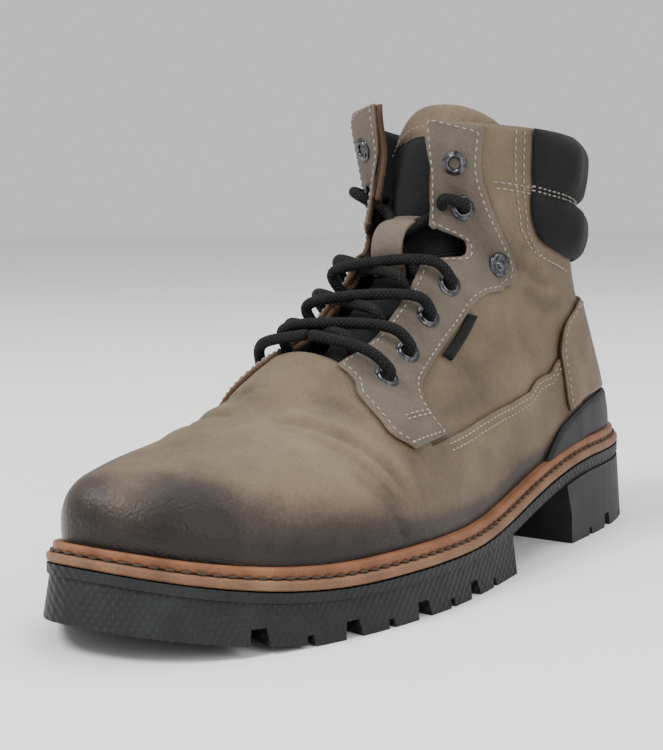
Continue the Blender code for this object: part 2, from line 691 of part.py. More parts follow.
def build_cuff():
    """Padded cuff: two rolls with a stitched groove between."""
    row = rows_of(CUFF, 10)
    share = np.linspace(-1, 1, 21)
    a = np.abs(share)
    u = 1 - (1 - row[:, 0])[:, None] * a
    v = row[:, 2][:, None] + (row[:, 1] - row[:, 2])[:, None] * a ** 2
    along = np.where(share < 0, u, 2 - u)
    full = 0.30 + 0.70 * smooth((1 - a) / 0.35)
    thick = CUFF_THICK * row[:, 3][:, None] * full
    inner = skin(along, v, 1.5 * SEAT)[0]
    outer = skin(along, v, 1.5 * SEAT + np.maximum(thick, 0.0014))[0]
    slab("collar_cuff", inner, outer, "cuff_nubuck")


def tongue_point(t, a, depth):
    """Point of the tongue: t from foot to top, a across, depth below its front face."""
    top = COLLAR_HEIGHT + TONGUE_RISE
    line = smooth_path(np.array(TONGUE) * [LENGTH, top, HALF, HALF, HALF], 65)
    at = np.linspace(0, 1, 65)
    y, z, half, fall, lean = [np.interp(t, at, line[:, i]) for i in range(5)]
    dy, dz = [np.interp(t, at, np.gradient(line[:, i], at)) for i in range(2)]
    run = np.hypot(dy, dz)
    below = fall * a ** 2 + depth
    drop = TONGUE_ROUND * np.abs(a) ** 3 * smooth((t - 0.85) / 0.15)
    return np.stack([
        centre(y) + lean + half * a,
        y + below * dz / run - drop * dy / run,
        z - below * dy / run - drop * dz / run], -1)


def build_tongue():
    t, a = np.meshgrid(np.linspace(0, 1, 15), np.linspace(-1, 1, 9), indexing="ij")
    edge = 1 - np.maximum(np.abs(a) ** 6, (2 * np.abs(t - 0.5)) ** 12)
    half = TONGUE_THICK / 2 * (0.35 + 0.65 * edge)
    outer = tongue_point(t, a, TONGUE_THICK / 2 - half)
    inner = tongue_point(t, a, TONGUE_THICK / 2 + half)
    slab("tongue", inner, outer, "tongue_fabric")


def seat_frame(turn, at, height):
    """Point, normal and a direction up the boot, on the lateral or medial side."""
    along = at[0] if turn > 0 else 2 - at[0]
    p, n = skin(np.array(along), np.array(at[1]), height + at[2])
    up = np.array([0, 0, 1.0]) - n * n[2]
    up /= np.linalg.norm(up)
    return p, n, up


def turned(name, profile, place, mat, segments=16):
    """Profile (radius, height) turned about its axis with Screw and set on a seat."""
    p, n, up = place
    mesh = bpy.data.meshes.new(name)
    closed = profile[0][0] > 0
    count = len(profile)
    edges = [(i, i + 1) for i in range(count - 1)] + ([(count - 1, 0)] if closed else [])
    mesh.from_pydata([(r, 0, h) for r, h in profile], edges, [])
    obj = bpy.data.objects.new(name, mesh)
    collection.objects.link(obj)
    mesh.materials.append(MATERIALS[mat])
    side = np.cross(up, n)
    obj.matrix_world = Matrix([[*column, 0] for column in (side, up, n)] + [[*p, 1]]).transposed()
    screw = obj.modifiers.new("turn", "SCREW")
    screw.steps = segments
    screw.render_steps = segments
    screw.use_merge_vertices = True
    screw.merge_threshold = 0.00001
    screw.use_normal_calculate = True
    screw.use_normal_flip = True
    return obj


def build_eyelets():
    """Rolled metal rings on the facings."""
    r, w = EYELET_RADIUS, EYELET_WIRE
    profile = [(r - 2 * w, 0), (r - 1.4 * w, w), (r - 0.6 * w, w), (r, 0)]
    for turn, side in ((1, "lateral"), (-1, "medial")):
        for i, at in enumerate(EYELETS):
            height = 1.8 * SEAT + LEATHER + float(vamp_lift(np.array(at[0])))
            turned(f"eyelet_{side}_{i + 1}", profile, seat_frame(turn, at, height), "eyelet_metal", 12)


def build_rivet():
    """Round-headed rivet with a small stud, on the lateral facing only."""
    r = RIVET_RADIUS
    profile = [(0, r * 0.42), (r * 0.3, r * 0.34), (r * 0.36, r * 0.2), (r * 0.9, r * 0.16), (r, 0), (0, 0)]
    turned("rivet", profile, seat_frame(1, RIVET_AT, 1.8 * SEAT + LEATHER), "eyelet_metal")


def build_tab():
    row = rows_of(TAB, 5)
    share = np.linspace(0, 1, 3)
    u = row[:, 0][:, None] + (row[:, 2] - row[:, 0])[:, None] * share
    v = row[:, 1][:, None] + (row[:, 3] - row[:, 1])[:, None] * share
    overlay("side_tab", u, v, SEAT, TAB_THICK, "tab_fabric")


def build_tongue_loop():
    """Leather keeper on the tongue, arched so that the lace passes under it."""
    t = np.linspace(LOOP_FROM, LOOP_TO, 9)
    share = (t - LOOP_FROM) / (LOOP_TO - LOOP_FROM)
    arch = np.sin(np.pi * np.clip((share - 0.06) / 0.88, 0, 1)) ** 0.6
    grid_t, a = np.meshgrid(t, np.linspace(-0.40, 0.40, 5), indexing="ij")
    proud = (SEAT + LOOP_ARCH * arch)[:, None] + 0 * grid_t
    base = tongue_point(grid_t, a, 0 * a)
    deep = tongue_point(grid_t, a, 0 * a + 0.001)
    out = base - deep
    out /= np.linalg.norm(out, axis=-1, keepdims=True)
    low = base + out * proud[..., None]
    slab("tongue_loop", low, low + out * 0.0014, "upper_leather")


def smooth_path(points, count):
    """Smooth curve through hand-chosen points, evenly parted."""
    p = np.array(points, float)
    p = np.concatenate([[2 * p[0] - p[1]], p, [2 * p[-1] - p[-2]]])
    t = np.linspace(0, len(points) - 1 - 1e-9, count)
    k = t.astype(int)
    f = (t - k)[:, None]
    a, b, c, d = p[k], p[k + 1], p[k + 2], p[k + 3]
    return 0.5 * (2 * b + f * (c - a + f * (2 * a - 5 * b + 4 * c - d + f * (3 * b - a - 3 * c + d))))


def tube(name, points, radius):
    """Mesh tube along a smooth path, from a bevelled curve with filled caps."""
    curve = bpy.data.curves.new(name, "CURVE")
    curve.dimensions = "3D"
    curve.bevel_depth = radius
    curve.bevel_resolution = 1
    curve.use_fill_caps = True
    line = curve.splines.new("POLY")
    line.points.add(len(points) - 1)
    for point, at in zip(line.points, points):
        point.co = (*at, 1)
    obj = bpy.data.objects.new(name + "_curve", curve)
    collection.objects.link(obj)
    graph = bpy.context.evaluated_depsgraph_get()
    mesh = bpy.data.meshes.new_from_object(obj.evaluated_get(graph))
    bm = bmesh.new()
    bm.from_mesh(mesh)
    bmesh.ops.remove_doubles(bm, verts=bm.verts, dist=0.00001)
    bm.to_mesh(mesh)
    bm.free()
    made = bpy.data.objects.new(name, mesh)
    made.matrix_world = obj.matrix_world
    bpy.data.objects.remove(obj, do_unlink=True)
    collection.objects.link(made)
    mesh.materials.append(MATERIALS["lace_cord"])
    return made


def above(turn, at, height):
    along = at[0] if turn > 0 else 2 - at[0]
    lift = 1.8 * SEAT + LEATHER + float(vamp_lift(np.array(at[0]))) + sum(at[2:])
    return skin(np.array(along), np.array(at[1]), lift + height)[0]


def build_laces():
    """A bar at the lowest eyelets, then one crossing a level, each clear of what it lies on."""
    clear = LACE / 2 + EYELET_WIRE + SEAT / 2
    edge = float(throat_edge(np.array([EYELETS[0][0]]))[0])
    bar = [above(1, EYELETS[0], clear), above(1, (EYELETS[0][0] - 0.006, edge - 0.04), clear + 0.001)]
    bar += [above(-1, (EYELETS[0][0] - 0.006, edge - 0.04), clear + 0.001), above(-1, EYELETS[0], clear)]
    middle = (bar[1] + bar[2]) / 2 + np.array([0, -0.002, 0.004])
    tube("lace_bar", smooth_path([bar[0], bar[1], middle, bar[2], bar[3]], 13), LACE / 2)
    for i in range(4):
        strands = []
        for turn in (1, -1):
            start, end = EYELETS[i], EYELETS[i + 1]
            rise = clear + (0.0036 if turn > 0 else 0.0)
            lip = float(throat_edge(np.array([start[0]]))[0])
            low = above(-turn, (start[0] + 0.010, lip + 0.06), rise * 0.55)
            high = above(turn, (end[0] - 0.006, min(float(throat_edge(np.array([end[0]]))[0]) - 0.03, 0.85)), clear + 0.0012)
            middle = (low + high) / 2 + np.array([0, -0.001, 0.001]) * (1 + turn)
            strands.append(tube(f"lace_cross_{i + 2}" if turn > 0 else f"lace_cross_{i + 2}_under",
                                smooth_path([low, middle, high, above(turn, end, clear)], 11), LACE / 2))
        under = strands[1]
        collection.objects.unlink(under)
        cutters.objects.link(under)
        cut(strands[0], as_cutter(under), "UNION")


def main():
    clear_scene()
    material("rubber", (0.045, 0.047, 0.05), 0.62)
    material("midsole_leather", (0.32, 0.19, 0.12), 0.6)
    material("welt_leather", (0.45, 0.22, 0.11), 0.55)
    material("upper_leather", (0.26, 0.205, 0.15), 0.75)
    material("eyestay_leather", (0.24, 0.20, 0.16), 0.75)
    material("cuff_nubuck", (0.02, 0.02, 0.022), 0.9)
    material("tongue_fabric", (0.03, 0.03, 0.032), 0.9)
    material("insole_fabric", (0.05, 0.05, 0.05), 0.9)
    material("eyelet_metal", (0.06, 0.06, 0.065), 0.35, 1.0)
    material("tab_fabric", (0.03, 0.03, 0.03), 0.85)
    material("lace_cord", (0.03, 0.031, 0.033), 0.85)
    build_outsole()
    build_heel_block()
    build_midsole()
    build_welt()
    build_insole()
    build_upper()
    for turn in (1, -1):
        build_eyestay(turn)
    build_back_panel()
    build_rand()
    build_cuff()
    build_tongue()
    build_tongue_loop()
    build_eyelets()
    build_rivet()
    build_tab()
    build_laces()


main()
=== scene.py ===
# %% [markdown]
# A left six-inch lace-up work boot is dressed here, piece by piece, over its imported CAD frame.
# The frame fixes every size. Each visible piece below is a surface worked out with numpy and laid
# where its CAD solid is, so it can carry creases, raw edges, stitches and a fitting finish.

# %% Frame and units
import math

import bmesh
import bpy
import numpy as np
from mathutils import Matrix, Vector


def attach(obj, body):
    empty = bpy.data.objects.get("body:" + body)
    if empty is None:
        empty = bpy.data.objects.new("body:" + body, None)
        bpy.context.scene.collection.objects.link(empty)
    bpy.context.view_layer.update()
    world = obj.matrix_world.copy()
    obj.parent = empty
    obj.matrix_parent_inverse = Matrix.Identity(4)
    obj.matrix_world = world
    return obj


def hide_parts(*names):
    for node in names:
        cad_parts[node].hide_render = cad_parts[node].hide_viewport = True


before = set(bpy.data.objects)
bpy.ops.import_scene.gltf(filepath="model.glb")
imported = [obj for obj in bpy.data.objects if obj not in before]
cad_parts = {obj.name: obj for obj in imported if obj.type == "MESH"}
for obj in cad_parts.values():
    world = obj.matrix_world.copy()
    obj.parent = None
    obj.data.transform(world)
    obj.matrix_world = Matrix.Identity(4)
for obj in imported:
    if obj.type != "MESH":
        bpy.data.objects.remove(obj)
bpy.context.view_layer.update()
MM = 0.001

# %% [markdown]
# The camera stands where the photograph was taken from. It was fitted once from both boots' soles;
# here it only turns towards the one boot and takes a longer lens, so the perspective stays.

# %% Camera
EYE = np.array([0.34879, -0.46763, 0.13575])
ROLL = math.radians(-0.7366)
IMAGE_WIDTH = 663
FILL = 0.87               # share of the picture's width that the boot takes


def camera_axes(back):
    """Right, up and back of a camera that looks along -back and is rolled a little."""
    base = Vector(back).to_track_quat("Z", "Y").to_matrix() @ Matrix.Rotation(ROLL, 3, "Z")
    return np.array(base.transposed())


def frame_points():
    """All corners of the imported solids, one row each."""
    parts = []
    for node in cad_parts.values():
        flat = np.empty(len(node.data.vertices) * 3)
        node.data.vertices.foreach_get("co", flat)
        parts.append(flat.reshape(-1, 3))
    return np.concatenate(parts)


look = np.array([0.0, 0.0, 0.075]) - EYE
for _ in range(4):
    axes = camera_axes(-look / np.linalg.norm(look))
    seen = (frame_points() - EYE) @ axes.T
    flat = seen[:, :2] / -seen[:, 2:]
    middle = (flat.max(0) + flat.min(0)) / 2
    look = middle @ axes[:2] - axes[2]
focal = FILL * IMAGE_WIDTH / np.ptp(flat[:, 0])
camera = bpy.data.objects.new("camera", bpy.data.cameras.new("camera"))
camera.data.sensor_fit = "HORIZONTAL"
camera.data.sensor_width = 36.0
camera.data.lens = focal * 36.0 / IMAGE_WIDTH
camera.data.clip_start = 0.01
camera.matrix_world = Matrix.Translation(EYE) @ Matrix(axes.T.tolist()).to_4x4()
bpy.context.scene.collection.objects.link(camera)
bpy.context.scene.camera = camera
print("lens", round(camera.data.lens, 1), "mm")

# %% [markdown]
# The boot's shape is a function of two shares. `along` runs 0 at the toe, 1 at the heel and on to 2
# at the toe again round the inner side; `up` runs from the sole to the ridge or the collar. Every
# leather piece is a region of that one chart, so the layers always follow each other.

# %% Sizes of the last and its tables
LENGTH = 0.308
HALF = 0.115 / 2
HEEL_HEIGHT = 0.0316
FOREFOOT_HEIGHT = 0.0156
TOE_SPRING = 0.0125
MIDSOLE_THICK = 0.0034
WELT_THICK = 0.0034
FEATHER_INSET = 0.0068
INSTEP_HEIGHT = 0.078
COLLAR_HEIGHT = 0.164
THROAT_GAP = 0.026
THROAT_START = 0.475
WALL = 0.0022
WING_STEP = 0.0012
LEATHER = 0.0016
SEAT = 0.0008
GAP = 0.0003
TRIM = 0.0010
OUTLINE = [
    (0, -0.05, -0.05), (15, 0.29, -0.28), (30, 0.59, -0.54), (45, 0.81, -0.79),
    (60, 0.945, -0.95), (75, 0.985, -0.90), (90, 0.895, -0.75), (105, 0.765, -0.665),
    (120, 0.68, -0.68), (135, 0.605, -0.66), (150, 0.48, -0.55), (165, 0.28, -0.35),
    (180, -0.035, -0.035),
]
# along, angle, top x, y, height, medial lift, low handle x, y, z, high handle x, y, z
SECTIONS = [
    (0.00, 0, 0.00, -0.350, 0.69, 0.0, 0.00, -0.010, 0.14, 0.00, -0.10, 0.00),
    (0.10, 22, 0.00, -0.322, 0.70, 0.0, 0.03, -0.008, 0.14, 0.27, -0.07, 0.00),
    (0.20, 40, 0.00, -0.288, 0.72, 0.0, 0.04, -0.004, 0.15, 0.44, -0.04, 0.00),
    (0.30, 56, 0.00, -0.240, 0.77, 0.0, 0.04, 0.000, 0.16, 0.48, -0.02, 0.00),
    (0.39, 68, 0.00, -0.188, 0.88, 0.0, 0.03, 0.000, 0.18, 0.46, 0.00, 0.00),
    (0.47, 78, 0.00, -0.138, 1.04, 0.0, 0.01, 0.000, 0.20, 0.44, 0.00, 0.00),
    (0.54, 86, 0.00, -0.090, 1.17, 0.0, -0.01, 0.002, 0.22, 0.44, 0.01, -0.04),
    (0.60, 93, 0.00, -0.043, 1.31, 0.0, -0.02, 0.004, 0.24, 0.46, 0.02, -0.06),
    (0.66, 100, 0.00, 0.004, 1.48, 0.0, -0.03, 0.005, 0.27, 0.48, 0.02, -0.09),
    (0.71, 105, 0.00, 0.034, 1.68, 0.005, -0.03, 0.005, 0.28, 0.50, 0.02, -0.12),
    (0.76, 110, 0.00, 0.046, 1.86, 0.02, -0.02, 0.004, 0.29, 0.50, 0.02, -0.14),
    (0.80, 114, 0.00, 0.052, 2.01, 0.04, -0.01, 0.002, 0.29, 0.46, 0.01, -0.17),
    (0.84, 119, 0.28, 0.064, 2.01, 0.04, 0.00, 0.000, 0.29, 0.26, 0.02, -0.23),
    (0.88, 128, 0.57, 0.112, 1.99, 0.03, 0.02, 0.000, 0.27, 0.06, 0.02, -0.30),
    (0.92, 140, 0.66, 0.210, 1.965, 0.01, 0.03, -0.001, 0.23, -0.02, -0.005, -0.36),
    (0.96, 156, 0.46, 0.315, 1.935, 0.0, 0.015, -0.003, 0.17, -0.02, -0.044, -0.40),
    (1.00, 180, 0.00, 0.366, 1.92, 0.0, 0.00, -0.004, 0.12, 0.00, -0.062, -0.42),
]
THROAT = [
    (0.475, 1.20), (0.54, 1.26), (0.60, 1.20), (0.66, 1.12),
    (0.71, 1.04), (0.76, 0.96), (0.80, 0.88), (0.86, 0.80),
]
WING = [
    (0.00, 0.35), (0.43, 0.35), (0.457, 0.320), (0.535, 0.312), (0.607, 0.285),
    (0.692, 0.235), (0.763, 0.210), (0.843, 0.228), (0.862, 0.273), (1.00, 0.30),
]
VAMP_END = 0.46
VAMP_FADE = 0.50

print("tables:", len(SECTIONS), "sections,", len(OUTLINE), "outline rows")

# %% [markdown]
# Tables have few rows, so something has to run smoothly between them. A periodic cubic spline joins
# what goes round the boot, and a Catmull-Rom curve joins what has two ends; both pass through
# every row, which keeps the numbers readable as places on the boot.

# %% Curves between rows


def spline(knots, values, at, period):
    """Periodic natural cubic spline through rows of values."""
    x = np.asarray(knots, float)
    y = np.asarray(values, float)
    x = np.concatenate([x - period, x, x + period])
    y = np.concatenate([y, y, y])
    h = np.diff(x)
    n = len(x)
    i = np.arange(1, n - 1)
    lhs = np.eye(n)
    rhs = np.zeros_like(y)
    lhs[i, i - 1] = h[:-1]
    lhs[i, i] = 2 * (h[:-1] + h[1:])
    lhs[i, i + 1] = h[1:]
    slope = np.diff(y, axis=0) / h[:, None]
    rhs[1:-1] = 6 * np.diff(slope, axis=0)
    m = np.linalg.solve(lhs, rhs)
    k = np.clip(np.searchsorted(x, at, side="right") - 1, 0, n - 2)
    t = (at - x[k])[..., None]
    hk = h[k][..., None]
    s = slope[k] - hk * (2 * m[k] + m[k + 1]) / 6
    return y[k] + t * (s + t * (m[k] / 2 + t * (m[k + 1] - m[k]) / (6 * hk)))


def smooth(t):
    """Soft step from 0 to 1."""
    t = np.clip(t, 0, 1)
    return t * t * (3 - 2 * t)


def smooth_path(points, count):
    """Catmull-Rom curve through given rows, evenly parted between them."""
    p = np.array(points, float)
    p = np.concatenate([[2 * p[0] - p[1]], p, [2 * p[-1] - p[-2]]])
    t = np.linspace(0, len(points) - 1 - 1e-9, count)
    k = t.astype(int)
    f = (t - k)[:, None]
    a, b, c, d = p[k], p[k + 1], p[k + 2], p[k + 3]
    return 0.5 * (2 * b + f * (c - a + f * (2 * a - 5 * b + 4 * c - d + f * (3 * b - a - 3 * c + d))))


print("half way up a soft step:", smooth(0.5))

# %% [markdown]
# The sole's edge, seen from above, is a spline through half widths at angles from the toe. Its height
# comes from one function of the place along the boot, so welt, midsole and upper share one line.

# %% Outline and height of the sole


def outline_table():
    """Fine outline of the midsole with its outward normals."""
    row = np.array(OUTLINE, float)
    knots = np.radians(np.concatenate([row[:, 0], 360 - row[-2:0:-1, 0]]))
    share = np.concatenate([row[:, 1], row[-2:0:-1, 2]])[:, None]
    angle = np.linspace(0, 2 * np.pi, 721)
    x = spline(knots, share, angle, 2 * np.pi)[:, 0]
    x = HALF * (2 * x - x.max() - x.min()) / (x.max() - x.min())
    point = np.stack([x, -LENGTH / 2 * np.cos(angle)], -1)[:-1]
    run = np.roll(point, -1, 0) - np.roll(point, 1, 0)
    normal = np.stack([run[:, 1], -run[:, 0]], -1)
    normal /= np.linalg.norm(normal, axis=1, keepdims=True)
    close = np.arange(721) % 720
    return angle, point[close], normal[close]


EDGE_ANGLE, EDGE_POINT, EDGE_NORMAL = outline_table()


def outline(angle, grow=0.0):
    """Point of the midsole's edge at an angle from the toe, grown outward."""
    a = np.mod(angle, 2 * np.pi)
    grown = EDGE_POINT + grow * EDGE_NORMAL
    return np.stack([np.interp(a, EDGE_ANGLE, grown[:, i]) for i in (0, 1)], -1)


def sole_line(y):
    """Height of the midsole's underside: heel, arch, ball, then the toe's spring."""
    s = 0.5 - y / LENGTH
    rise = 1 - smooth((s - 0.17) / 0.40)
    spring = np.clip((s - 0.74) / 0.26, 0, 1.2) ** 2
    return FOREFOOT_HEIGHT + (HEEL_HEIGHT - FOREFOOT_HEIGHT) * rise + TOE_SPRING * spring


def welt_top(y):
    """Height of the welt's upper face."""
    return sole_line(y) + MIDSOLE_THICK + GAP + WELT_THICK


def centre(y):
    """Middle line of the last, seen from above."""
    return HALF * (-0.035 - 0.025 * smooth((0.5 - y / LENGTH - 0.55) / 0.45))


print("edge of the sole, first point:", EDGE_POINT[0].round(4))

# %% [markdown]
# Across the boot, each section is one cubic Bezier curve from the feather line up to the ridge or the
# collar. A loft of such curves is smooth both ways with a handful of numbers a row, which is why it
# is used here and not a sculpted mesh.

# %% Sections and skin of the last


def section_rows():
    """Lateral rows and their medial mirror, as one periodic table of period 2."""
    lateral = np.array(SECTIONS, float)
    lateral[:, 1] -= 180 * lateral[:, 0]
    medial = lateral[-2:0:-1].copy()
    medial[:, 0] = 2 - medial[:, 0]
    medial[:, [1, 2, 6, 9]] *= -1
    lateral[:, 5] = 0
    row = np.concatenate([lateral, medial])
    return row[:, 0], row[:, 1:]


SECTION_AT, SECTION_ROW = section_rows()


def form(along, up):
    """Closed form of the upper: a cubic Bezier section at each place along the boot."""
    q = spline(SECTION_AT, SECTION_ROW, np.mod(along, 2), 2)
    foot = outline(np.radians(q[..., 0] + 180 * np.mod(along, 2)), -FEATHER_INSET)
    b = np.stack([foot[..., 0], foot[..., 1], welt_top(foot[..., 1]) - TRIM], -1)
    top_y = LENGTH * q[..., 2]
    low = np.minimum(q[..., 3], 1)
    high = q[..., 3] - low
    top_z = INSTEP_HEIGHT * low + (COLLAR_HEIGHT - INSTEP_HEIGHT) * high + COLLAR_HEIGHT * q[..., 4]
    t = np.stack([centre(top_y) + HALF * q[..., 1], top_y, top_z], -1)
    size = np.array([HALF, LENGTH, COLLAR_HEIGHT])
    c1 = b + q[..., 5:8] * size
    c2 = t + q[..., 8:11] * size
    v = up[..., None]
    w = 1 - v
    return w ** 3 * b + 3 * v * w ** 2 * c1 + 3 * v ** 2 * w * c2 + v ** 3 * t


def lateral(along):
    """The same place counted on one side: 0 toe, 1 heel, either side."""
    return 1 - np.abs(1 - np.mod(along, 2))


def skin(along, up, grow=0.0):
    """Point of the outer face, moved out along its normal by grow, and that normal."""
    along, up, grow = np.broadcast_arrays(np.asarray(along, float), up, grow)
    inner = np.minimum(up, 0.985)
    step = 0.004
    du = form(along + step, inner) - form(along - step, inner)
    dv = form(along, inner + step) - form(along, inner - step)
    n = np.cross(du, dv)
    n[..., 0] *= np.where(lateral(along) < THROAT_START + 0.001, np.clip((1 - up) / 0.08, 0, 1), 1)
    n[..., 2] *= np.clip(up / 0.05, 0, 1)
    n /= np.linalg.norm(n, axis=-1, keepdims=True)
    return form(along, up) + grow[..., None] * n, n


print("heel at half height:", skin(np.array([1.0]), np.array([0.5]))[0].round(4))

# %% [markdown]
# Two edges are drawn on the chart: the throat, found where a section comes within half the gap of
# the middle line, and the vamp's wings. Lifts say how much leather lies under a place.

# %% Edges and lifts


def throat_edge(along):
    """Share up the section where the throat is cut; 1 outside the throat."""
    u = lateral(along)
    row = np.array(THROAT)
    gap = np.interp(u, row[:, 0], row[:, 1]) * THROAT_GAP / 2
    low = np.full_like(u, 0.3)
    high = np.ones_like(u)
    for _ in range(20):
        v = (low + high) / 2
        p = form(u, v)
        wide = np.abs(p[..., 0] - centre(p[..., 1])) > gap
        low = np.where(wide, v, low)
        high = np.where(wide, high, v)
    return np.where((u < THROAT_START) | (u > 0.9), 1.0, high)


def wing_edge(along):
    """Upper edge of the vamp's wings, straight between its rows."""
    row = np.array(WING)
    return np.interp(lateral(along), row[:, 0], row[:, 1])


def vamp_lift(along):
    """The vamp's own thickness, gone where it ends under the eyestay."""
    return WING_STEP * (1 - np.clip((lateral(along) - VAMP_END) / (VAMP_FADE - VAMP_END), 0, 1))


def wing_lift(along):
    """The wing's thickness, gone where it ends under the back panel."""
    return WING_STEP * (1 - np.clip((lateral(along) - 0.875) / 0.02, 0, 1))


print("last ready:", SECTION_ROW.shape)

# %% [markdown]
# Worn leather folds where the toes bend. Each fold is a line drawn on the chart with a width
# and a depth in millimetres; the height change is a bell of the distance to that line, which fades
# towards its ends. Every layer adds the same relief, so stitches and edges bend with the leather.

# %% Creases and the relief they make
# points (along, up), width, depth: troughs are negative, ridges positive
CREASES = [
    ([(0.335, 0.93), (0.352, 0.78), (0.378, 0.512), (0.400, 0.338), (0.420, 0.122)], 2.6, -1.7),
    ([(0.350, 0.92), (0.368, 0.74), (0.392, 0.512), (0.412, 0.338), (0.432, 0.122)], 3.6, 1.2),
    ([(0.318, 0.90), (0.338, 0.68), (0.370, 0.39), (0.388, 0.240), (0.404, 0.113)], 2.2, -1.2),
    ([(0.322, 0.86), (0.350, 0.62), (0.374, 0.46), (0.391, 0.30), (0.409, 0.13)], 2.4, 0.9),
    ([(0.340, 0.40), (0.360, 0.288), (0.385, 0.150), (0.397, 0.03)], 2.4, -1.0),
    ([(0.300, 0.80), (0.318, 0.55), (0.340, 0.33), (0.358, 0.16)], 4.0, 0.7),
    ([(0.398, 0.90), (0.412, 0.70), (0.424, 0.52)], 2.2, -0.9),
    ([(0.852, 0.60), (0.872, 0.555), (0.893, 0.545)], 3.0, -1.3),
    ([(0.845, 0.50), (0.868, 0.470), (0.900, 0.480)], 3.2, -1.2),
    ([(0.852, 0.55), (0.872, 0.512), (0.897, 0.512)], 3.2, 1.0),
    ([(0.60, 0.44), (0.66, 0.40), (0.72, 0.38), (0.77, 0.39)], 5.0, -0.9),
    ([(0.54, 0.39), (0.60, 0.36), (0.66, 0.31)], 4.0, -0.6),
    ([(0.79, 0.40), (0.815, 0.33), (0.835, 0.26)], 4.0, -0.7),
]


def near(points, line):
    """Distance from each point to a sampled line, and the share along it of the nearest sample."""
    flat = points.reshape(-1, 3)
    square = (flat ** 2).sum(1)[:, None] + (line ** 2).sum(1) - 2 * flat @ line.T
    pick = square.argmin(1)
    shape = points.shape[:-1]
    return np.sqrt(np.maximum(square.min(1), 0)).reshape(shape), (pick / (len(line) - 1)).reshape(shape)


def crease_lines():
    """Each crease as sampled points on the last, on both sides of the boot."""
    lines = []
    for points, width, depth in CREASES:
        row = smooth_path(points, 90)
        for along in (row[:, 0], 2 - row[:, 0]):
            lines.append((skin(along, row[:, 1])[0], width * MM, depth * MM))
    return lines


CREASE_FADE = 0.2         # share of a crease's length over which it fades at each end
CREASE_LINES = crease_lines()


def waves(p):
    """Slow unevenness of hand-lasted leather: a sum of three sines, up to 0.4 mm high."""
    x, y, z = (p[..., i] for i in range(3))
    slow = np.sin(95 * y + 60 * z) + np.sin(130 * x - 80 * z + 1.3) + 0.7 * np.sin(210 * z + 150 * y + 0.4)
    return 0.00016 * slow


def relief(points, up):
    """Sum of the bells of all creases, nothing at the sole's edge."""
    total = waves(points)
    for line, width, depth in CREASE_LINES:
        distance, share = near(points, line)
        ends = smooth(share / CREASE_FADE) * smooth((1 - share) / CREASE_FADE)
        total = total + depth * np.exp(-(distance / width) ** 2) * ends
    return total * smooth(up / 0.09)


def cover(along, up, lift=0.0):
    """Point of a layer at a height above the last, creased like the rest, and its normal."""
    along, up, lift = np.broadcast_arrays(np.asarray(along, float), up, lift)
    base, normal = skin(along, up)
    return base + normal * (lift + relief(base, up))[..., None], normal


print(len(CREASE_LINES), "crease lines on both sides")

# %% [markdown]
# Colours are given as sRGB hex values and are turned to linear once. One helper adds any
# shader node with its settings and links, and each finish is then a short list of such nodes.

# %% Colour and node helpers


def colour(hex_value):
    """sRGB hex to linear RGBA."""
    c = np.array([int(hex_value[i:i + 2], 16) for i in (1, 3, 5)]) / 255
    c = np.where(c <= 0.04045, c / 12.92, ((c + 0.055) / 1.055) ** 2.4)
    return (*c.tolist(), 1.0)


def add_node(mat, kind, links=None, **settings):
    """Add a node: settings are its properties, links give each input a value or another's output."""
    made = mat.node_tree.nodes.new(kind)
    for key, value in settings.items():
        setattr(made, key, value)
    for socket, value in (links or {}).items():
        if isinstance(value, bpy.types.NodeSocket):
            mat.node_tree.links.new(value, made.inputs[socket])
        else:
            made.inputs[socket].default_value = value
    return made


def finish(name, **values):
    """New material with plain values on its shader, and its object coordinates."""
    mat = bpy.data.materials.new(name)
    mat.use_nodes = True
    shader = mat.node_tree.nodes["Principled BSDF"]
    for socket, value in values.items():
        shader.inputs[socket.replace("_", " ")].default_value = value
    return mat, shader, add_node(mat, "ShaderNodeTexCoord")


def paint(mat, shader, amount, stops):
    """Colour from an amount, through a ramp of (place, hex) stops."""
    ramp = add_node(mat, "ShaderNodeValToRGB", {"Fac": amount})
    while len(ramp.color_ramp.elements) < len(stops):
        ramp.color_ramp.elements.new(1.0)
    for element, (place, hex_value) in zip(ramp.color_ramp.elements, stops):
        element.position = place
        element.color = colour(hex_value)
    mat.node_tree.links.new(ramp.outputs["Color"], shader.inputs["Base Color"])


def raise_grain(mat, shader, height, depth):
    """Bump from a height, depth in metres for its full range."""
    bump = add_node(mat, "ShaderNodeBump", {"Height": height, "Distance": depth, "Strength": 1.0})
    mat.node_tree.links.new(bump.outputs["Normal"], shader.inputs["Normal"])
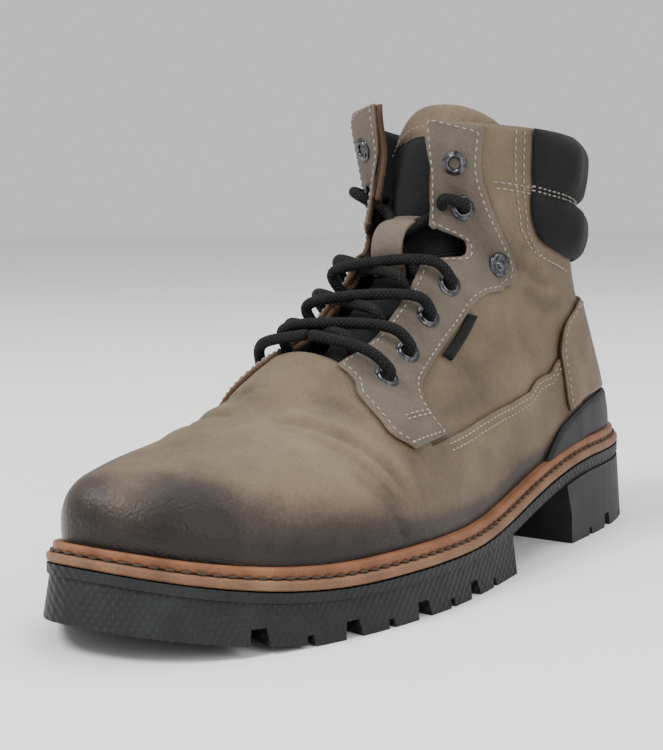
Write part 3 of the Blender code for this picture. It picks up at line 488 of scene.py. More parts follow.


# %% [markdown]
# The upper is oiled nubuck: grain side of cattle hide, buffed and waxed. It shows faint clouds about
# 20 mm wide, a pebble near 1.2 mm, a nap near 1 mm and little gloss. One attribute carries rubs and
# smears together with painted shade in the creases and painted highlights on their ridges and on the
# toe's tip, and the burnish attribute the dark, polished wax round the toe.

# %% Leather finishes


def leather(name, stops, roughness=0.72, pebble=1.2, depth=0.28, sheen=0.03):
    """Colour: ramp of clouds, nap, wear and painted light. Height: pebble and nap. pebble and depth in
    millimetres.
    """
    mat, shader, place = finish(name, Roughness=roughness, Sheen_Weight=sheen, Sheen_Roughness=0.5,
                                Specular_IOR_Level=0.32)
    at = place.outputs["Object"]
    cloud = add_node(mat, "ShaderNodeTexNoise",
                     {"Vector": at, "Scale": 48.0, "Detail": 6.0, "Roughness": 0.62})
    nap = add_node(mat, "ShaderNodeTexNoise",
                   {"Vector": at, "Scale": 900.0, "Detail": 3.0, "Roughness": 0.6})
    cell = add_node(mat, "ShaderNodeTexVoronoi",
                    {"Vector": at, "Scale": 1 / (pebble * MM)}, feature="SMOOTH_F1")
    wear_and_painted_light = add_node(mat, "ShaderNodeAttribute", attribute_name="wear_and_painted_light")
    polish = add_node(mat, "ShaderNodeAttribute", attribute_name="burnish")
    gloss = add_node(mat, "ShaderNodeMath", {0: polish.outputs["Fac"], 1: -0.34, 2: roughness},
                     operation="MULTIPLY_ADD")
    mat.node_tree.links.new(gloss.outputs[0], shader.inputs["Roughness"])
    base = add_node(mat, "ShaderNodeMath", {0: cloud.outputs["Fac"], 1: 0.42, 2: 0.20},
                    operation="MULTIPLY_ADD")
    fine = add_node(mat, "ShaderNodeMath", {0: nap.outputs["Fac"], 1: 0.18, 2: base.outputs[0]},
                    operation="MULTIPLY_ADD")
    both = add_node(mat, "ShaderNodeMath", {0: fine.outputs[0], 1: wear_and_painted_light.outputs["Fac"]}, operation="ADD")
    paint(mat, shader, both.outputs[0], stops)
    mix = add_node(mat, "ShaderNodeMath", {0: cell.outputs["Distance"], 1: 0.55, 2: nap.outputs["Fac"]},
                   operation="MULTIPLY_ADD")
    raise_grain(mat, shader, mix.outputs[0], depth * MM)
    return mat


NUBUCK = leather("oiled_nubuck",
                 [(0.06, "#1a1412"), (0.28, "#392f28"), (0.50, "#635544"), (0.80, "#84745d")])
FACING = leather("facing_nubuck",
                 [(0.06, "#1b1614"), (0.28, "#39322d"), (0.50, "#595046"), (0.80, "#776c5d")])
CUFF_NUBUCK = leather("black_nubuck", [(0.2, "#060606"), (0.5, "#0d0d0e"), (0.85, "#1d1d1e")],
                      0.9, 1.0, 0.2, 0.02)
RAW_EDGE = leather("cut_leather_edge", [(0.2, "#2b2018"), (0.5, "#513d2d"), (0.85, "#765d46")],
                   0.9, 0.7, 0.5, 0.0)
WELT_LEATHER = leather("oak_bark_leather", [(0.15, "#3f2717"), (0.5, "#794e33"), (0.85, "#996c4a")],
                       0.55, 0.9, 0.25, 0.0)
MIDSOLE_LEATHER = leather("stacked_leather", [(0.15, "#3c2a1e"), (0.5, "#73533c"), (0.85, "#937054")],
                          0.62, 0.8, 0.3, 0.0)
print("leathers ready")

# %% [markdown]
# The tread is moulded rubber: a near-black grey, matt, dusty in patches. Fine crossed ribs, 2 mm
# apart so that they show, are moulded into the forefoot's side. The tongue is polyester twill, whose
# slanting ribs are 1.2 mm apart here so that they show; the real ones are half that.

# %% Rubber and cloth finishes


def rubber(name, ribs):
    """Colour: ramp of dusty noise. Height: fine grit, and two crossed waves where it has ribs."""
    mat, shader, place = finish(name, Roughness=0.58, Specular_IOR_Level=0.28)
    at = place.outputs["Object"]
    dust = add_node(mat, "ShaderNodeTexNoise",
                    {"Vector": at, "Scale": 40.0, "Detail": 7.0, "Roughness": 0.6})
    paint(mat, shader, dust.outputs["Fac"], [(0.25, "#121314"), (0.55, "#1d1e1f"), (0.85, "#2d2e30")])
    fine = add_node(mat, "ShaderNodeTexNoise", {"Vector": at, "Scale": 1500.0, "Detail": 2.0})
    height = fine.outputs["Fac"]
    if ribs:
        for turn in (0.72, -0.72):
            turned_place = add_node(mat, "ShaderNodeMapping", {"Vector": at, "Rotation": (turn, 0.0, 0.6)})
            wave = add_node(mat, "ShaderNodeTexWave",
                            {"Vector": turned_place.outputs["Vector"], "Scale": 150.0},
                            wave_type="BANDS", bands_direction="Y")
            height = add_node(mat, "ShaderNodeMath", {0: wave.outputs["Fac"], 1: 1.6, 2: height},
                              operation="MULTIPLY_ADD").outputs[0]
    raise_grain(mat, shader, height, 0.14 * MM if ribs else 0.08 * MM)
    return mat


def twill(name, dark, light, pitch=1.2, roughness=0.9):
    """Slanting ribs from the piece's own UV map, which is in metres."""
    mat, shader, place = finish(name, Roughness=roughness, Sheen_Weight=0.04, Sheen_Roughness=0.5,
                                Specular_IOR_Level=0.2)
    turned_place = add_node(mat, "ShaderNodeMapping",
                            {"Vector": place.outputs["UV"], "Rotation": (0.0, 0.0, 0.9)})
    wave = add_node(mat, "ShaderNodeTexWave",
                    {"Vector": turned_place.outputs["Vector"], "Scale": 0.314 / (pitch * MM),
                     "Distortion": 0.6, "Detail": 1.0},
                    wave_type="BANDS", bands_direction="X")
    fibre = add_node(mat, "ShaderNodeTexNoise",
                     {"Vector": place.outputs["Object"], "Scale": 1400.0, "Detail": 2.0})
    mix = add_node(mat, "ShaderNodeMath", {0: wave.outputs["Fac"], 1: 0.6, 2: fibre.outputs["Fac"]},
                   operation="MULTIPLY_ADD")
    paint(mat, shader, mix.outputs[0], [(0.35, dark), (1.05, light)])
    raise_grain(mat, shader, mix.outputs[0], 0.25 * MM)
    return mat


def plain_cloth(name, dark, light, size, roughness=0.95):
    """Colour and height from one noise whose grains have a size in millimetres."""
    mat, shader, place = finish(name, Roughness=roughness, Sheen_Weight=0.04, Sheen_Roughness=0.5,
                                Specular_IOR_Level=0.2)
    fibre = add_node(mat, "ShaderNodeTexNoise", {"Vector": place.outputs["Object"], "Scale": 1 / (size * MM),
                                                 "Detail": 4.0})
    paint(mat, shader, fibre.outputs["Fac"], [(0.3, dark), (0.7, light)])
    raise_grain(mat, shader, fibre.outputs["Fac"], 0.2 * MM)
    return mat


RIBBED_RUBBER = rubber("moulded_rubber_ribbed", True)
SMOOTH_RUBBER = rubber("moulded_rubber_smooth", False)
TWILL = twill("polyester_twill", "#070708", "#1b1b1d")
LINING = plain_cloth("brushed_lining", "#0c0c0c", "#1b1b1a", 1.0)
FELT = plain_cloth("footbed_cloth", "#202021", "#3c3b3a", 0.8)
THREAD = plain_cloth("waxed_thread", "#77716a", "#aea79c", 0.3, 0.6)
DARK_THREAD = plain_cloth("dark_waxed_thread", "#2b241f", "#4d4138", 0.3, 0.6)
print("rubber and cloth ready")

# %% [markdown]
# Eyelets and rivet are brass with a gunmetal plating: a dark metal, polished, with fine scratches.
# The cord is a round polyester braid; its strands cross in slanting rows, drawn on its UV map.

# %% Metal and cord finishes


def gunmetal():
    """Colour and height from one fine noise, on a polished metal."""
    mat, shader, place = finish("gunmetal_plated_brass", Metallic=1.0, Roughness=0.3)
    scratch = add_node(mat, "ShaderNodeTexNoise",
                       {"Vector": place.outputs["Object"], "Scale": 700.0, "Detail": 5.0})
    paint(mat, shader, scratch.outputs["Fac"], [(0.3, "#2f2f31"), (0.7, "#66666a")])
    raise_grain(mat, shader, scratch.outputs["Fac"], 0.04 * MM)
    return mat


def braid():
    """Height: product of two crossed waves, 1.2 mm apart. Colour: the same, broken by noise."""
    mat, shader, place = finish("polyester_braid", Roughness=0.8, Specular_IOR_Level=0.25)
    height = None
    for turn in (0.785, -0.785):
        slant = add_node(mat, "ShaderNodeMapping",
                         {"Vector": place.outputs["UV"], "Rotation": (0.0, 0.0, turn)})
        wave = add_node(mat, "ShaderNodeTexWave", {"Vector": slant.outputs["Vector"], "Scale": 260.0},
                        wave_type="BANDS", bands_direction="X")
        if height is None:
            height = wave.outputs["Fac"]
        else:
            height = add_node(mat, "ShaderNodeMath", {0: height, 1: wave.outputs["Fac"]},
                              operation="MULTIPLY").outputs[0]
    fleck = add_node(mat, "ShaderNodeTexNoise",
                     {"Vector": place.outputs["Object"], "Scale": 420.0, "Detail": 1.0})
    mix = add_node(mat, "ShaderNodeMath", {0: height, 1: fleck.outputs["Fac"]}, operation="MULTIPLY")
    paint(mat, shader, mix.outputs[0], [(0.10, "#09090a"), (0.36, "#161718"), (0.50, "#303133")])
    raise_grain(mat, shader, height, 0.35 * MM)
    return mat


METAL = gunmetal()
CORD = braid()
print("metal and cord ready")

# %% [markdown]
# Meshes: a grid of points becomes quads, doubled points are merged so that seams and poles close,
# and Solidify gives a sheet its thickness with the cut edge in its own material.

# %% Mesh helpers


MERGE = 0.02 * MM         # points nearer than this are one point


def quads(rows, cols, wrap=False):
    """Faces of a grid of rows by cols points; wrap joins the last column to the first."""
    i, j = np.meshgrid(np.arange(rows - 1), np.arange(cols if wrap else cols - 1), indexing="ij")
    a = i * cols + j
    b = i * cols + (j + 1) % cols
    return np.stack([a, b, b + cols, a + cols], -1).reshape(-1, 4)


def make(name, points, faces, mats, uv=None, marks=None, outward=None, recalc=False):
    """Object from flat arrays: uv in metres and marks go with each point; outward is a normal to face."""
    points = np.asarray(points, float).reshape(-1, 3)
    faces = np.asarray(faces)
    if outward is not None:
        a, b, c, d = (points[faces[:, k]] for k in range(4))
        turn = np.cross(c - a, d - b)
        if (turn * outward.reshape(-1, 3)[faces[:, 0]]).sum() < 0:
            faces = faces[:, ::-1]
    mesh = bpy.data.meshes.new(name)
    mesh.from_pydata(points.tolist(), [], faces.tolist())
    for mark, value in (marks or {}).items():
        stored = mesh.attributes.new(mark, "FLOAT", "POINT")
        stored.data.foreach_set("value", np.ravel(value).astype(np.float32))
    if uv is not None:
        corner = np.empty(len(mesh.loops), dtype=np.int32)
        mesh.loops.foreach_get("vertex_index", corner)
        layer = mesh.uv_layers.new(name="UVMap")
        layer.data.foreach_set("uv", uv.reshape(-1, 2)[corner].ravel().astype(np.float32))
    bm = bmesh.new()
    bm.from_mesh(mesh)
    bmesh.ops.delete(bm, geom=[v for v in bm.verts if not v.link_faces], context="VERTS")
    bmesh.ops.remove_doubles(bm, verts=bm.verts, dist=MERGE)
    if recalc:
        bmesh.ops.recalc_face_normals(bm, faces=bm.faces)
    bm.to_mesh(mesh)
    bm.free()
    obj = bpy.data.objects.new(name, mesh)
    bpy.context.scene.collection.objects.link(obj)
    for mat in mats:
        mesh.materials.append(mat)
    mesh.shade_smooth()
    return obj


def thicken(obj, thickness, rim=0, inner=0):
    """Wall inward from the face, with its cut edge and its back in their own material slots."""
    wall = obj.modifiers.new("wall", "SOLIDIFY")
    wall.thickness = thickness
    wall.offset = -1.0
    wall.use_quality_normals = True
    wall.material_offset_rim = rim
    wall.material_offset = inner
    obj.data.set_sharp_from_angle(angle=math.radians(50))


def settle(obj, slot, *nodes):
    """Every piece rides the one body and stands for its CAD nodes, hiding them; slot is not used."""
    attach(obj, "root")
    if nodes:
        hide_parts(*nodes)
    return obj


print("mesh helpers ready, points merge within", MERGE, "m")

# %% [markdown]
# Wear is worked out, not painted by hand: soft spots at named places, with a painted highlight on the
# toe's tip, wax that reaches up from the welt round the toe, painted shade in the creases and painted
# highlight on their ridges. Two numbers a point carry it to the materials.

# %% Wear, wax and painted light


def spot(points, at, radius, amount):
    """Soft round patch about a place on the chart: wear, and a painted highlight on the toe's tip."""
    middle = skin(np.array(at[0]), np.array(at[1]))[0]
    square = ((points - middle) ** 2).sum(-1)
    return amount * np.exp(-square / (radius * MM) ** 2)


# place, radius in millimetres, amount: darkest wax on the toe's outer side, a painted highlight in
# the two pale spots on its tip, pale rubs elsewhere
WEAR_AND_HIGHLIGHT_SPOTS = [
    ((0.118, 0.36), 9, -0.08), ((0.140, 0.28), 11, -0.12), ((0.165, 0.18), 12, -0.10),
    ((0.055, 0.33), 11, 0.10), ((0.075, 0.14), 10, 0.05), ((0.30, 0.55), 26, 0.07),
    ((0.25, 0.80), 24, 0.06), ((0.72, 0.42), 26, 0.05), ((0.96, 0.45), 22, 0.04),
]
# reach of the toe's wax up the section, by the place along
BURNISH_REACH = [(0.0, 0.80), (0.08, 0.74), (0.16, 0.58), (0.24, 0.42),
                 (0.32, 0.28), (0.42, 0.15), (0.60, 0.08), (1.0, 0.08)]


def burnish_of(points, along, up):
    """Share of wax: full at the welt, gone at its reach, with an uneven hand-rubbed border."""
    reach = np.interp(lateral(along), *np.array(BURNISH_REACH).T)
    x, y, z = (points[..., i] for i in range(3))
    uneven = 1 + 0.12 * np.sin(140 * y + 4 * np.sin(90 * x)) * np.sin(110 * z)
    return smooth(1.15 * (1 - up / (reach * uneven)))


def wear_and_painted_light_of(points, along, up):
    """Spots, dark wax, painted shade in the creases' bottoms and painted highlight on their ridges."""
    total = 0.02 * np.sin(70 * points[..., 1] + 3 * np.sin(60 * points[..., 2]))
    for at, radius, amount in WEAR_AND_HIGHLIGHT_SPOTS:
        total = total + spot(points, at, radius, amount)
    # painted shade darkens the creases' troughs and painted highlight lightens their ridges
    fold = relief(points, up) / MM
    return total + np.clip(fold * 0.07, -0.12, 0.06) - 0.42 * burnish_of(points, along, up)


def marks_of(along, up, more=0.0):
    """Both attributes for a region of the chart."""
    points = skin(along, up)[0]
    return {"wear_and_painted_light": wear_and_painted_light_of(points, along, up) + more, "burnish": burnish_of(points, along, up)}


print(len(WEAR_AND_HIGHLIGHT_SPOTS), "spots of wear")

# %% [markdown]
# The upper's wall is one sheet from the feather line to the throat and collar, split only where the
# tongue's gap opens. The vamp with its two wings lies over it as a second layer with a cut edge.

# %% Upper wall and vamp
# opening of the wall under the facing's cut-out, a little wider than that, so its edge is hidden
NOTCH = [
    (0.660, 0.980), (0.640, 0.800), (0.672, 0.725), (0.705, 0.655), (0.735, 0.625), (0.772, 0.645),
    (0.772, 0.700), (0.764, 0.745), (0.752, 0.785), (0.745, 0.860), (0.745, 0.980),
]


def inside(u, v, loop):
    """Even-odd test of chart points against a closed outline."""
    hit = np.zeros(u.shape, bool)
    row = np.array(loop)
    for (ua, va), (ub, vb) in zip(row, np.roll(row, -1, 0)):
        cross = (va > v) != (vb > v)
        at = ua + (v - va) * (ub - ua) / (vb - va if vb != va else 1e-9)
        hit ^= cross & (u < at)
    return hit


def columns(*stops):
    """Places along one side, evenly parted between stops of (place, step)."""
    parts = [np.arange(a, b - step / 2, step) for (a, step), (b, _) in zip(stops, stops[1:])]
    return np.concatenate(parts + [[stops[-1][0]]])


def wall_rows(edges, counts):
    """Rows up the section between edges, each an array over the columns."""
    rows = [low + (high - low) * np.linspace(0, 1, n, endpoint=False)[:, None]
            for low, high, n in zip(edges, edges[1:], counts)]
    return np.concatenate(rows + [edges[-1][None]])


def layer(name, side, edges, counts, allowed, lift, mats):
    """Both sides of a layer as one mesh; allowed(u, up, part) says which faces exist."""
    grids = []
    for turn in (1, -1):
        up = wall_rows(edges, counts)
        u = np.broadcast_to(side, up.shape)
        along = u if turn > 0 else 2 - u
        points, normals = cover(along, up, lift(along))
        face = quads(*up.shape)
        part = np.repeat(np.arange(len(counts)), counts)
        row_of = np.repeat(part, len(side) - 1)
        u_mid = u.ravel()[face].mean(1)
        v_mid = up.ravel()[face].mean(1)
        face = face[allowed(u_mid, v_mid, row_of)]
        if turn < 0:
            face = face[:, ::-1]
        grids.append((points, normals, face, marks_of(along, up)))
    size = grids[0][0].size // 3
    return make(name, np.concatenate([g[0].reshape(-1, 3) for g in grids]),
                np.concatenate([grids[0][2], grids[1][2] + size]), mats,
                marks={mark: np.concatenate([g[3][mark].ravel() for g in grids]) for mark in grids[0][3]},
                outward=np.concatenate([g[1].reshape(-1, 3) for g in grids]))


side = columns((0.0, 0.008), (THROAT_START, 0.006), (1.0, 0))
opening = throat_edge(np.maximum(side, THROAT_START + 0.0001))
upper = layer("upper_wall", side, [0 * side, opening, np.ones_like(side)], [54, 8],
              lambda u, v, part: ((part == 0) | (u < THROAT_START)) & ~inside(u, v, NOTCH),
              lambda along: 0 * along, [NUBUCK, RAW_EDGE, LINING])
thicken(upper, WALL, rim=1, inner=2)
settle(upper, "upper_leather", "upper")

VAMP_BACK = 0.492         # where the vamp ends under the facings
VAMP_FACE = WING_STEP + 0.0002
side = columns((0.0, 0.005), (THROAT_START, 0.0034), (VAMP_BACK, 0.006), (0.886, 0))
opening = throat_edge(np.maximum(side, THROAT_START + 0.0001))
vamp = layer("vamp", side, [0 * side, wing_edge(side), opening, np.ones_like(side)], [20, 36, 8],
             lambda u, v, part: (part == 0) | ((part == 1) & (u < VAMP_BACK)) | (u < THROAT_START),
             lambda along: VAMP_FACE + 0 * along, [NUBUCK, RAW_EDGE])
thicken(vamp, WING_STEP, rim=1)
settle(vamp, "upper_leather")
print("upper and vamp", len(upper.data.polygons), len(vamp.data.polygons))

# %% [markdown]
# Each facing carries the eyelets of one side and has a cut-out at the ankle. It is a grid between a
# front and a back edge given in the chart, and its outer millimetre is pressed down, as a needle and
# a hammer leave it. The same patch function makes the panels after it.

# %% Facings
# front along, up, back along, up; up 1.2 is the throat's edge
EYESTAY = [
    (0.455, 0.338, 0.535, 0.328), (0.433, 0.430, 0.529, 0.375), (0.433, 0.503, 0.528, 0.417),
    (0.436, 0.580, 0.529, 0.450), (0.443, 0.652, 0.532, 0.478), (0.463, 0.743, 0.545, 0.520),
    (0.487, 1.2, 0.558, 0.537), (0.510, 1.2, 0.577, 0.550), (0.530, 1.2, 0.595, 0.558),
    (0.565, 1.2, 0.617, 0.564), (0.600, 1.2, 0.640, 0.566), (0.635, 1.2, 0.672, 0.563),
    (0.667, 0.830, 0.700, 0.556), (0.693, 0.753, 0.735, 0.528), (0.720, 0.685, 0.765, 0.490),
    (0.738, 0.662, 0.787, 0.468), (0.750, 0.672, 0.825, 0.480), (0.743, 0.705, 0.843, 0.520),
    (0.735, 0.735, 0.850, 0.568), (0.722, 0.792, 0.851, 0.610), (0.717, 0.850, 0.852, 0.645),
    (0.738, 1.2, 0.852, 0.690), (0.760, 1.2, 0.853, 0.738), (0.785, 1.2, 0.855, 0.790),
    (0.808, 1.2, 0.858, 0.860), (0.825, 1.2, 0.864, 0.930), (0.840, 1.2, 0.870, 1.000),
]
FACE_LIFT = SEAT + LEATHER
FACING_THICK = 2.1 * MM   # the leather and what it is glued to
PRESS = 0.7 * MM          # how far a border is pressed down
PRESS_WIDTH = 1.1 * MM
RUB_WIDTH = 1.2 * MM


def border_distance(points):
    """Distance of each grid point to the nearest of the grid's four borders, by mean spacing."""
    rows, cols = points.shape[:2]
    across = np.linalg.norm(np.diff(points, axis=1), axis=2).sum(1) / (cols - 1)
    along = np.linalg.norm(np.diff(points, axis=0), axis=2).sum(0) / (rows - 1)
    r, c = np.meshgrid(np.arange(rows), np.arange(cols), indexing="ij")
    return np.minimum(np.minimum(c, cols - 1 - c) * across[:, None], np.minimum(r, rows - 1 - r) * along)


def patch(name, along, up, lift, thickness, mats, slot, *nodes):
    """Sheet over a chart region with pressed borders and a thickness; returns it and its grids."""
    base = skin(along, up)[0]
    pressed = PRESS * np.exp(-(border_distance(base) / PRESS_WIDTH) ** 2)
    points, normals = cover(along, up, lift - pressed)
    rubbed = 0.07 * np.exp(-(border_distance(base) / RUB_WIDTH) ** 2)
    obj = make(name, points, quads(*along.shape), mats, marks=marks_of(along, up, rubbed), outward=normals)
    thicken(obj, thickness, rim=1)
    settle(obj, slot, *nodes)
    return obj, points, normals


def facing_grid(turn):
    """Chart places of a facing: straight lines from its front edge to its back edge."""
    row = smooth_path(EYESTAY, 260)
    front_up = np.minimum(row[:, 1], throat_edge(np.maximum(row[:, 0], THROAT_START + 0.0001)))
    share = np.linspace(0, 1, 26)
    u = row[:, 0][:, None] + (row[:, 2] - row[:, 0])[:, None] * share
    v = front_up[:, None] + (np.minimum(row[:, 3], 1) - front_up)[:, None] * share
    return (u if turn > 0 else 2 - u), v


facings = {}
for turn, word in ((1, "lateral"), (-1, "medial")):
    along, up = facing_grid(turn)
    lift = FACE_LIFT + vamp_lift(along)
    facings[turn] = patch("facing_" + word, along, up, lift, FACING_THICK, [FACING, RAW_EDGE],
                          "eyestay_leather", "eyestay_" + word)
    print("facing", word, along.shape)

# %% [markdown]
# The back panel wraps the heel. Its chart place is folded about the back seam: a share from -1 to 1
# runs from one front edge over the heel to the other, so both halves come from one table.

# %% Back panel
# front along, up, up at the back seam
BACK_PANEL = [
    (0.860, 0.105, 0.222), (0.858, 0.155, 0.280), (0.862, 0.265, 0.380),
    (0.868, 0.315, 0.450), (0.885, 0.393, 0.540), (0.925, 0.535, 0.640),
]
row = smooth_path(BACK_PANEL, 60)
share = np.linspace(-1, 1, 161)
u = 1 - (1 - row[:, 0])[:, None] * np.abs(share)
up = row[:, 2][:, None] + (row[:, 1] - row[:, 2])[:, None] * np.abs(share) ** 1.4
along = np.where(share < 0, u, 2 - u)
back_panel = patch("back_panel_leather", along, up, FACE_LIFT + wing_lift(along), FACING_THICK,
                   [NUBUCK, RAW_EDGE], "upper_leather", "back_panel")
print("back panel", along.shape)

# %% [markdown]
# A rubber rand protects the foot of the heel. It is made as the back panel is, with an upper edge
# that falls to the welt on both sides.

# %% Heel rand
RAND = [(0.785, 0.010), (0.833, 0.068), (0.860, 0.090), (0.947, 0.190), (1.00, 0.205)]
RAND_FACE = SEAT + 2.0 * MM
RAND_THICK = 2.4 * MM
share = np.linspace(-1, 1, 221)
u = 1 - (1 - RAND[0][0]) * np.abs(share)
up = np.interp(u, *np.array(RAND).T)[None] * np.linspace(0, 1, 14)[:, None]
along = np.broadcast_to(np.where(share < 0, u, 2 - u), up.shape)
patch("rand_rubber", along, up, RAND_FACE + wing_lift(along), RAND_THICK,
      [SMOOTH_RUBBER, SMOOTH_RUBBER], "rubber", "heel_rand")
print("rand", along.shape)

# %% [markdown]
# The collar's cuff is nubuck over foam, sewn across once, so it swells into two rolls. Its thickness
# comes from a table up the cuff and a soft fall towards its front ends, with puckers at the seam.

# %% Padded cuff
# front along, up, up at the back, share of the full thickness
CUFF = [
    (0.925, 0.680, 0.715, 0.30), (0.895, 0.690, 0.735, 0.70), (0.890, 0.740, 0.775, 1.00),
    (0.893, 0.810, 0.820, 0.95), (0.897, 0.850, 0.850, 0.35), (0.898, 0.885, 0.880, 0.90),
    (0.901, 0.955, 0.955, 1.00), (0.902, 1.000, 1.000, 0.55),
]
CUFF_THICK = 0.0070
CUFF_SEAT = SEAT + 0.4 * MM
CUFF_ROWS = 90
CUFF_COLS = 221
GROOVE_ROW = 0.57         # share up the cuff of its sewn groove


def cuff_grids():
    """Inner face, outer face and normals: thickness is table x ends x puckers x softness x closing."""
    row = smooth_path(CUFF, CUFF_ROWS)
    share = np.sin(np.linspace(-np.pi / 2, np.pi / 2, CUFF_COLS))
    a = np.abs(share)
    u = 1 - (1 - row[:, 0])[:, None] * a
    v = row[:, 2][:, None] + (row[:, 1] - row[:, 2])[:, None] * a ** 2
    along = np.where(share < 0, u, 2 - u)
    v = np.minimum(v, 1.0)
    full = 0.30 + 0.70 * smooth((1 - a) / 0.30)
    t = np.linspace(0, 1, CUFF_ROWS)[:, None]
    pucker = 1 + 0.05 * np.sin(share * 95) * np.exp(-((t - GROOVE_ROW) / 0.10) ** 2)
    soft = 1 + 0.05 * np.sin(share * 17 + 2 * t) + 0.04 * np.sin(share * 31 - 9 * t)
    closing = np.sqrt(np.clip(1 - np.abs(2 * t - 1) ** 14, 0, 1)) * np.sqrt(np.clip(1 - a ** 60, 0, 1))
    thick = CUFF_THICK * row[:, 3][:, None] * full * pucker * soft * closing
    inner = skin(along, v, CUFF_SEAT)[0]
    outer, normals = skin(along, v, CUFF_SEAT + thick)
    return inner, outer, normals


def pad(name, outer, inner, mats, slot, node, uv=None, wear_and_painted_light=None):
    """Closed pad from a front and a back grid whose borders meet."""
    rows, cols = outer.shape[:2]
    face = quads(rows, cols)
    points = np.concatenate([outer.reshape(-1, 3), inner.reshape(-1, 3)])
    both = np.concatenate([face, face[:, ::-1] + rows * cols])
    if uv is not None:
        uv = np.concatenate([uv.reshape(-1, 2)] * 2)
    marks = {"wear_and_painted_light": np.zeros(len(points)) if wear_and_painted_light is None else np.concatenate([wear_and_painted_light.ravel()] * 2)}
    obj = make(name, points, both, mats, uv=uv, marks=marks, recalc=True)
    return settle(obj, slot, node)


cuff_inner, cuff_outer, cuff_normal = cuff_grids()
cuff = pad("cuff_padding", cuff_outer, cuff_inner, [CUFF_NUBUCK], "cuff_nubuck", "collar_cuff")
print("cuff", cuff_outer.shape)

# %% [markdown]
# The tongue is a padded strip of twill with a roll of leather sewn over its top. It is worked out
# from five sizes along its length and is thinner towards its edges, where its two faces meet. Cloth
# simulation was left out: the pad is firm and thin, and its few soft waves are easier to place.

# %% Tongue
# y, height, half width, fall of its edges, lean to the outer side
TONGUE = [
    (-0.181, 0.370, 0.31, 0.08, 0.02), (-0.129, 0.420, 0.31, 0.13, 0.02),
    (-0.075, 0.463, 0.31, 0.16, 0.02), (-0.009, 0.564, 0.31, 0.18, 0.02),
    (0.030, 0.626, 0.31, 0.22, 0.02), (0.063, 0.722, 0.32, 0.25, 0.03),
    (0.073, 0.798, 0.38, 0.28, 0.04), (0.086, 0.879, 0.43, 0.28, 0.05),
    (0.115, 1.000, 0.49, 0.28, 0.08),
]
TONGUE_TOP = COLLAR_HEIGHT + 0.009
TONGUE_THICK = 0.0060
TONGUE_ROUND = 0.010
ROLL_FROM = 0.925         # share of the tongue where the leather roll starts
TONGUE_STEPS = 129
TONGUE_LINE = smooth_path(np.array(TONGUE) * [LENGTH, TONGUE_TOP, HALF, HALF, HALF], TONGUE_STEPS)


def tongue_point(t, a, depth):
    """Point of the tongue: t from foot to top, a across, depth below its front face."""
    at = np.linspace(0, 1, TONGUE_STEPS)
    y, z, half, fall, lean = [np.interp(t, at, TONGUE_LINE[:, i]) for i in range(5)]
    dy, dz = [np.interp(t, at, np.gradient(TONGUE_LINE[:, i], at)) for i in range(2)]
    run = np.hypot(dy, dz)
    below = fall * a ** 2 + depth
    drop = TONGUE_ROUND * np.abs(a) ** 3 * smooth((t - 0.85) / 0.15)
    return np.stack([
        centre(y) + lean + half * a,
        y + below * dz / run - drop * dy / run,
        z - below * dy / run - drop * dz / run], -1)


t = (1 - np.cos(np.linspace(0, np.pi, 150))) / 2
a = np.sin(np.linspace(-np.pi / 2, np.pi / 2, 61))
t, a = np.meshgrid(t, a, indexing="ij")
edge = np.sqrt(np.clip(1 - np.maximum(np.abs(a) ** 8, np.abs(2 * t - 1) ** 30), 0, 1))
seam = 1 - 0.30 * np.exp(-((t - ROLL_FROM) / 0.008) ** 2)
soft = 1 + 0.05 * np.sin(9 * t + 5 * a) + 0.04 * np.sin(31 * t - 4 * a)
half = TONGUE_THICK / 2 * edge * seam * soft * (1 + 0.12 * smooth((t - ROLL_FROM) / 0.02))
uv = np.stack([a * 0.4 * HALF, t * 0.17], -1)
tongue = pad("tongue_padding", tongue_point(t, a, TONGUE_THICK / 2 - half),
             tongue_point(t, a, TONGUE_THICK / 2 + half), [TWILL, NUBUCK], "tongue_fabric", "tongue",
             uv=uv, wear_and_painted_light=0.02 * np.sin(40 * a))
middle = np.empty(len(tongue.data.polygons) * 3)
tongue.data.polygons.foreach_get("center", middle)
roll_at = tongue_point(np.array([ROLL_FROM]), np.array([0.0]), np.array([0.0]))[0]
rise = tongue_point(np.array([0.96]), np.array([0.0]), np.array([0.0]))[0] - roll_at
is_roll = (middle.reshape(-1, 3) - roll_at)[:, 1:] @ rise[1:] > 0
tongue.data.polygons.foreach_set("material_index", is_roll.astype(np.int32))
print("tongue", is_roll.sum(), "faces of leather roll")

# %% [markdown]
# A leather keeper is sewn to the tongue at both ends and arches between them, so that the cord passes
# under it. It follows the tongue's own surface and stands off it by half a sine.

# %% Keeper
LOOP_FROM = 0.49
LOOP_TO = 0.665
LOOP_ARCH = 0.0095
KEEPER_THICK = 1.5 * MM
t = np.linspace(LOOP_FROM, LOOP_TO, 60)
share = (t - LOOP_FROM) / (LOOP_TO - LOOP_FROM)
arch = np.sin(np.pi * np.clip((share - 0.06) / 0.88, 0, 1)) ** 0.6
t, a = np.meshgrid(t, np.linspace(-0.40, 0.40, 22), indexing="ij")
base = tongue_point(t, a, 0 * a)
out = base - tongue_point(t, a, 0 * a + 0.001)
out /= np.linalg.norm(out, axis=-1, keepdims=True)
keeper_top = base + out * (SEAT + LOOP_ARCH * arch[:, None] + KEEPER_THICK)[..., None]
keeper = make("tongue_keeper", keeper_top, quads(60, 22), [FACING, RAW_EDGE],
              marks={"wear_and_painted_light": 0 * t + 0.06}, outward=out)
thicken(keeper, KEEPER_THICK, rim=1)
settle(keeper, "upper_leather", "tongue_loop")
print("keeper", t.shape)

# %% [markdown]
# Eyelets, washers and the rivet are turned parts: a profile of radius and height carried round an
# axis that stands on the leather. The washer's rim is milled, so its radius ripples with the angle.

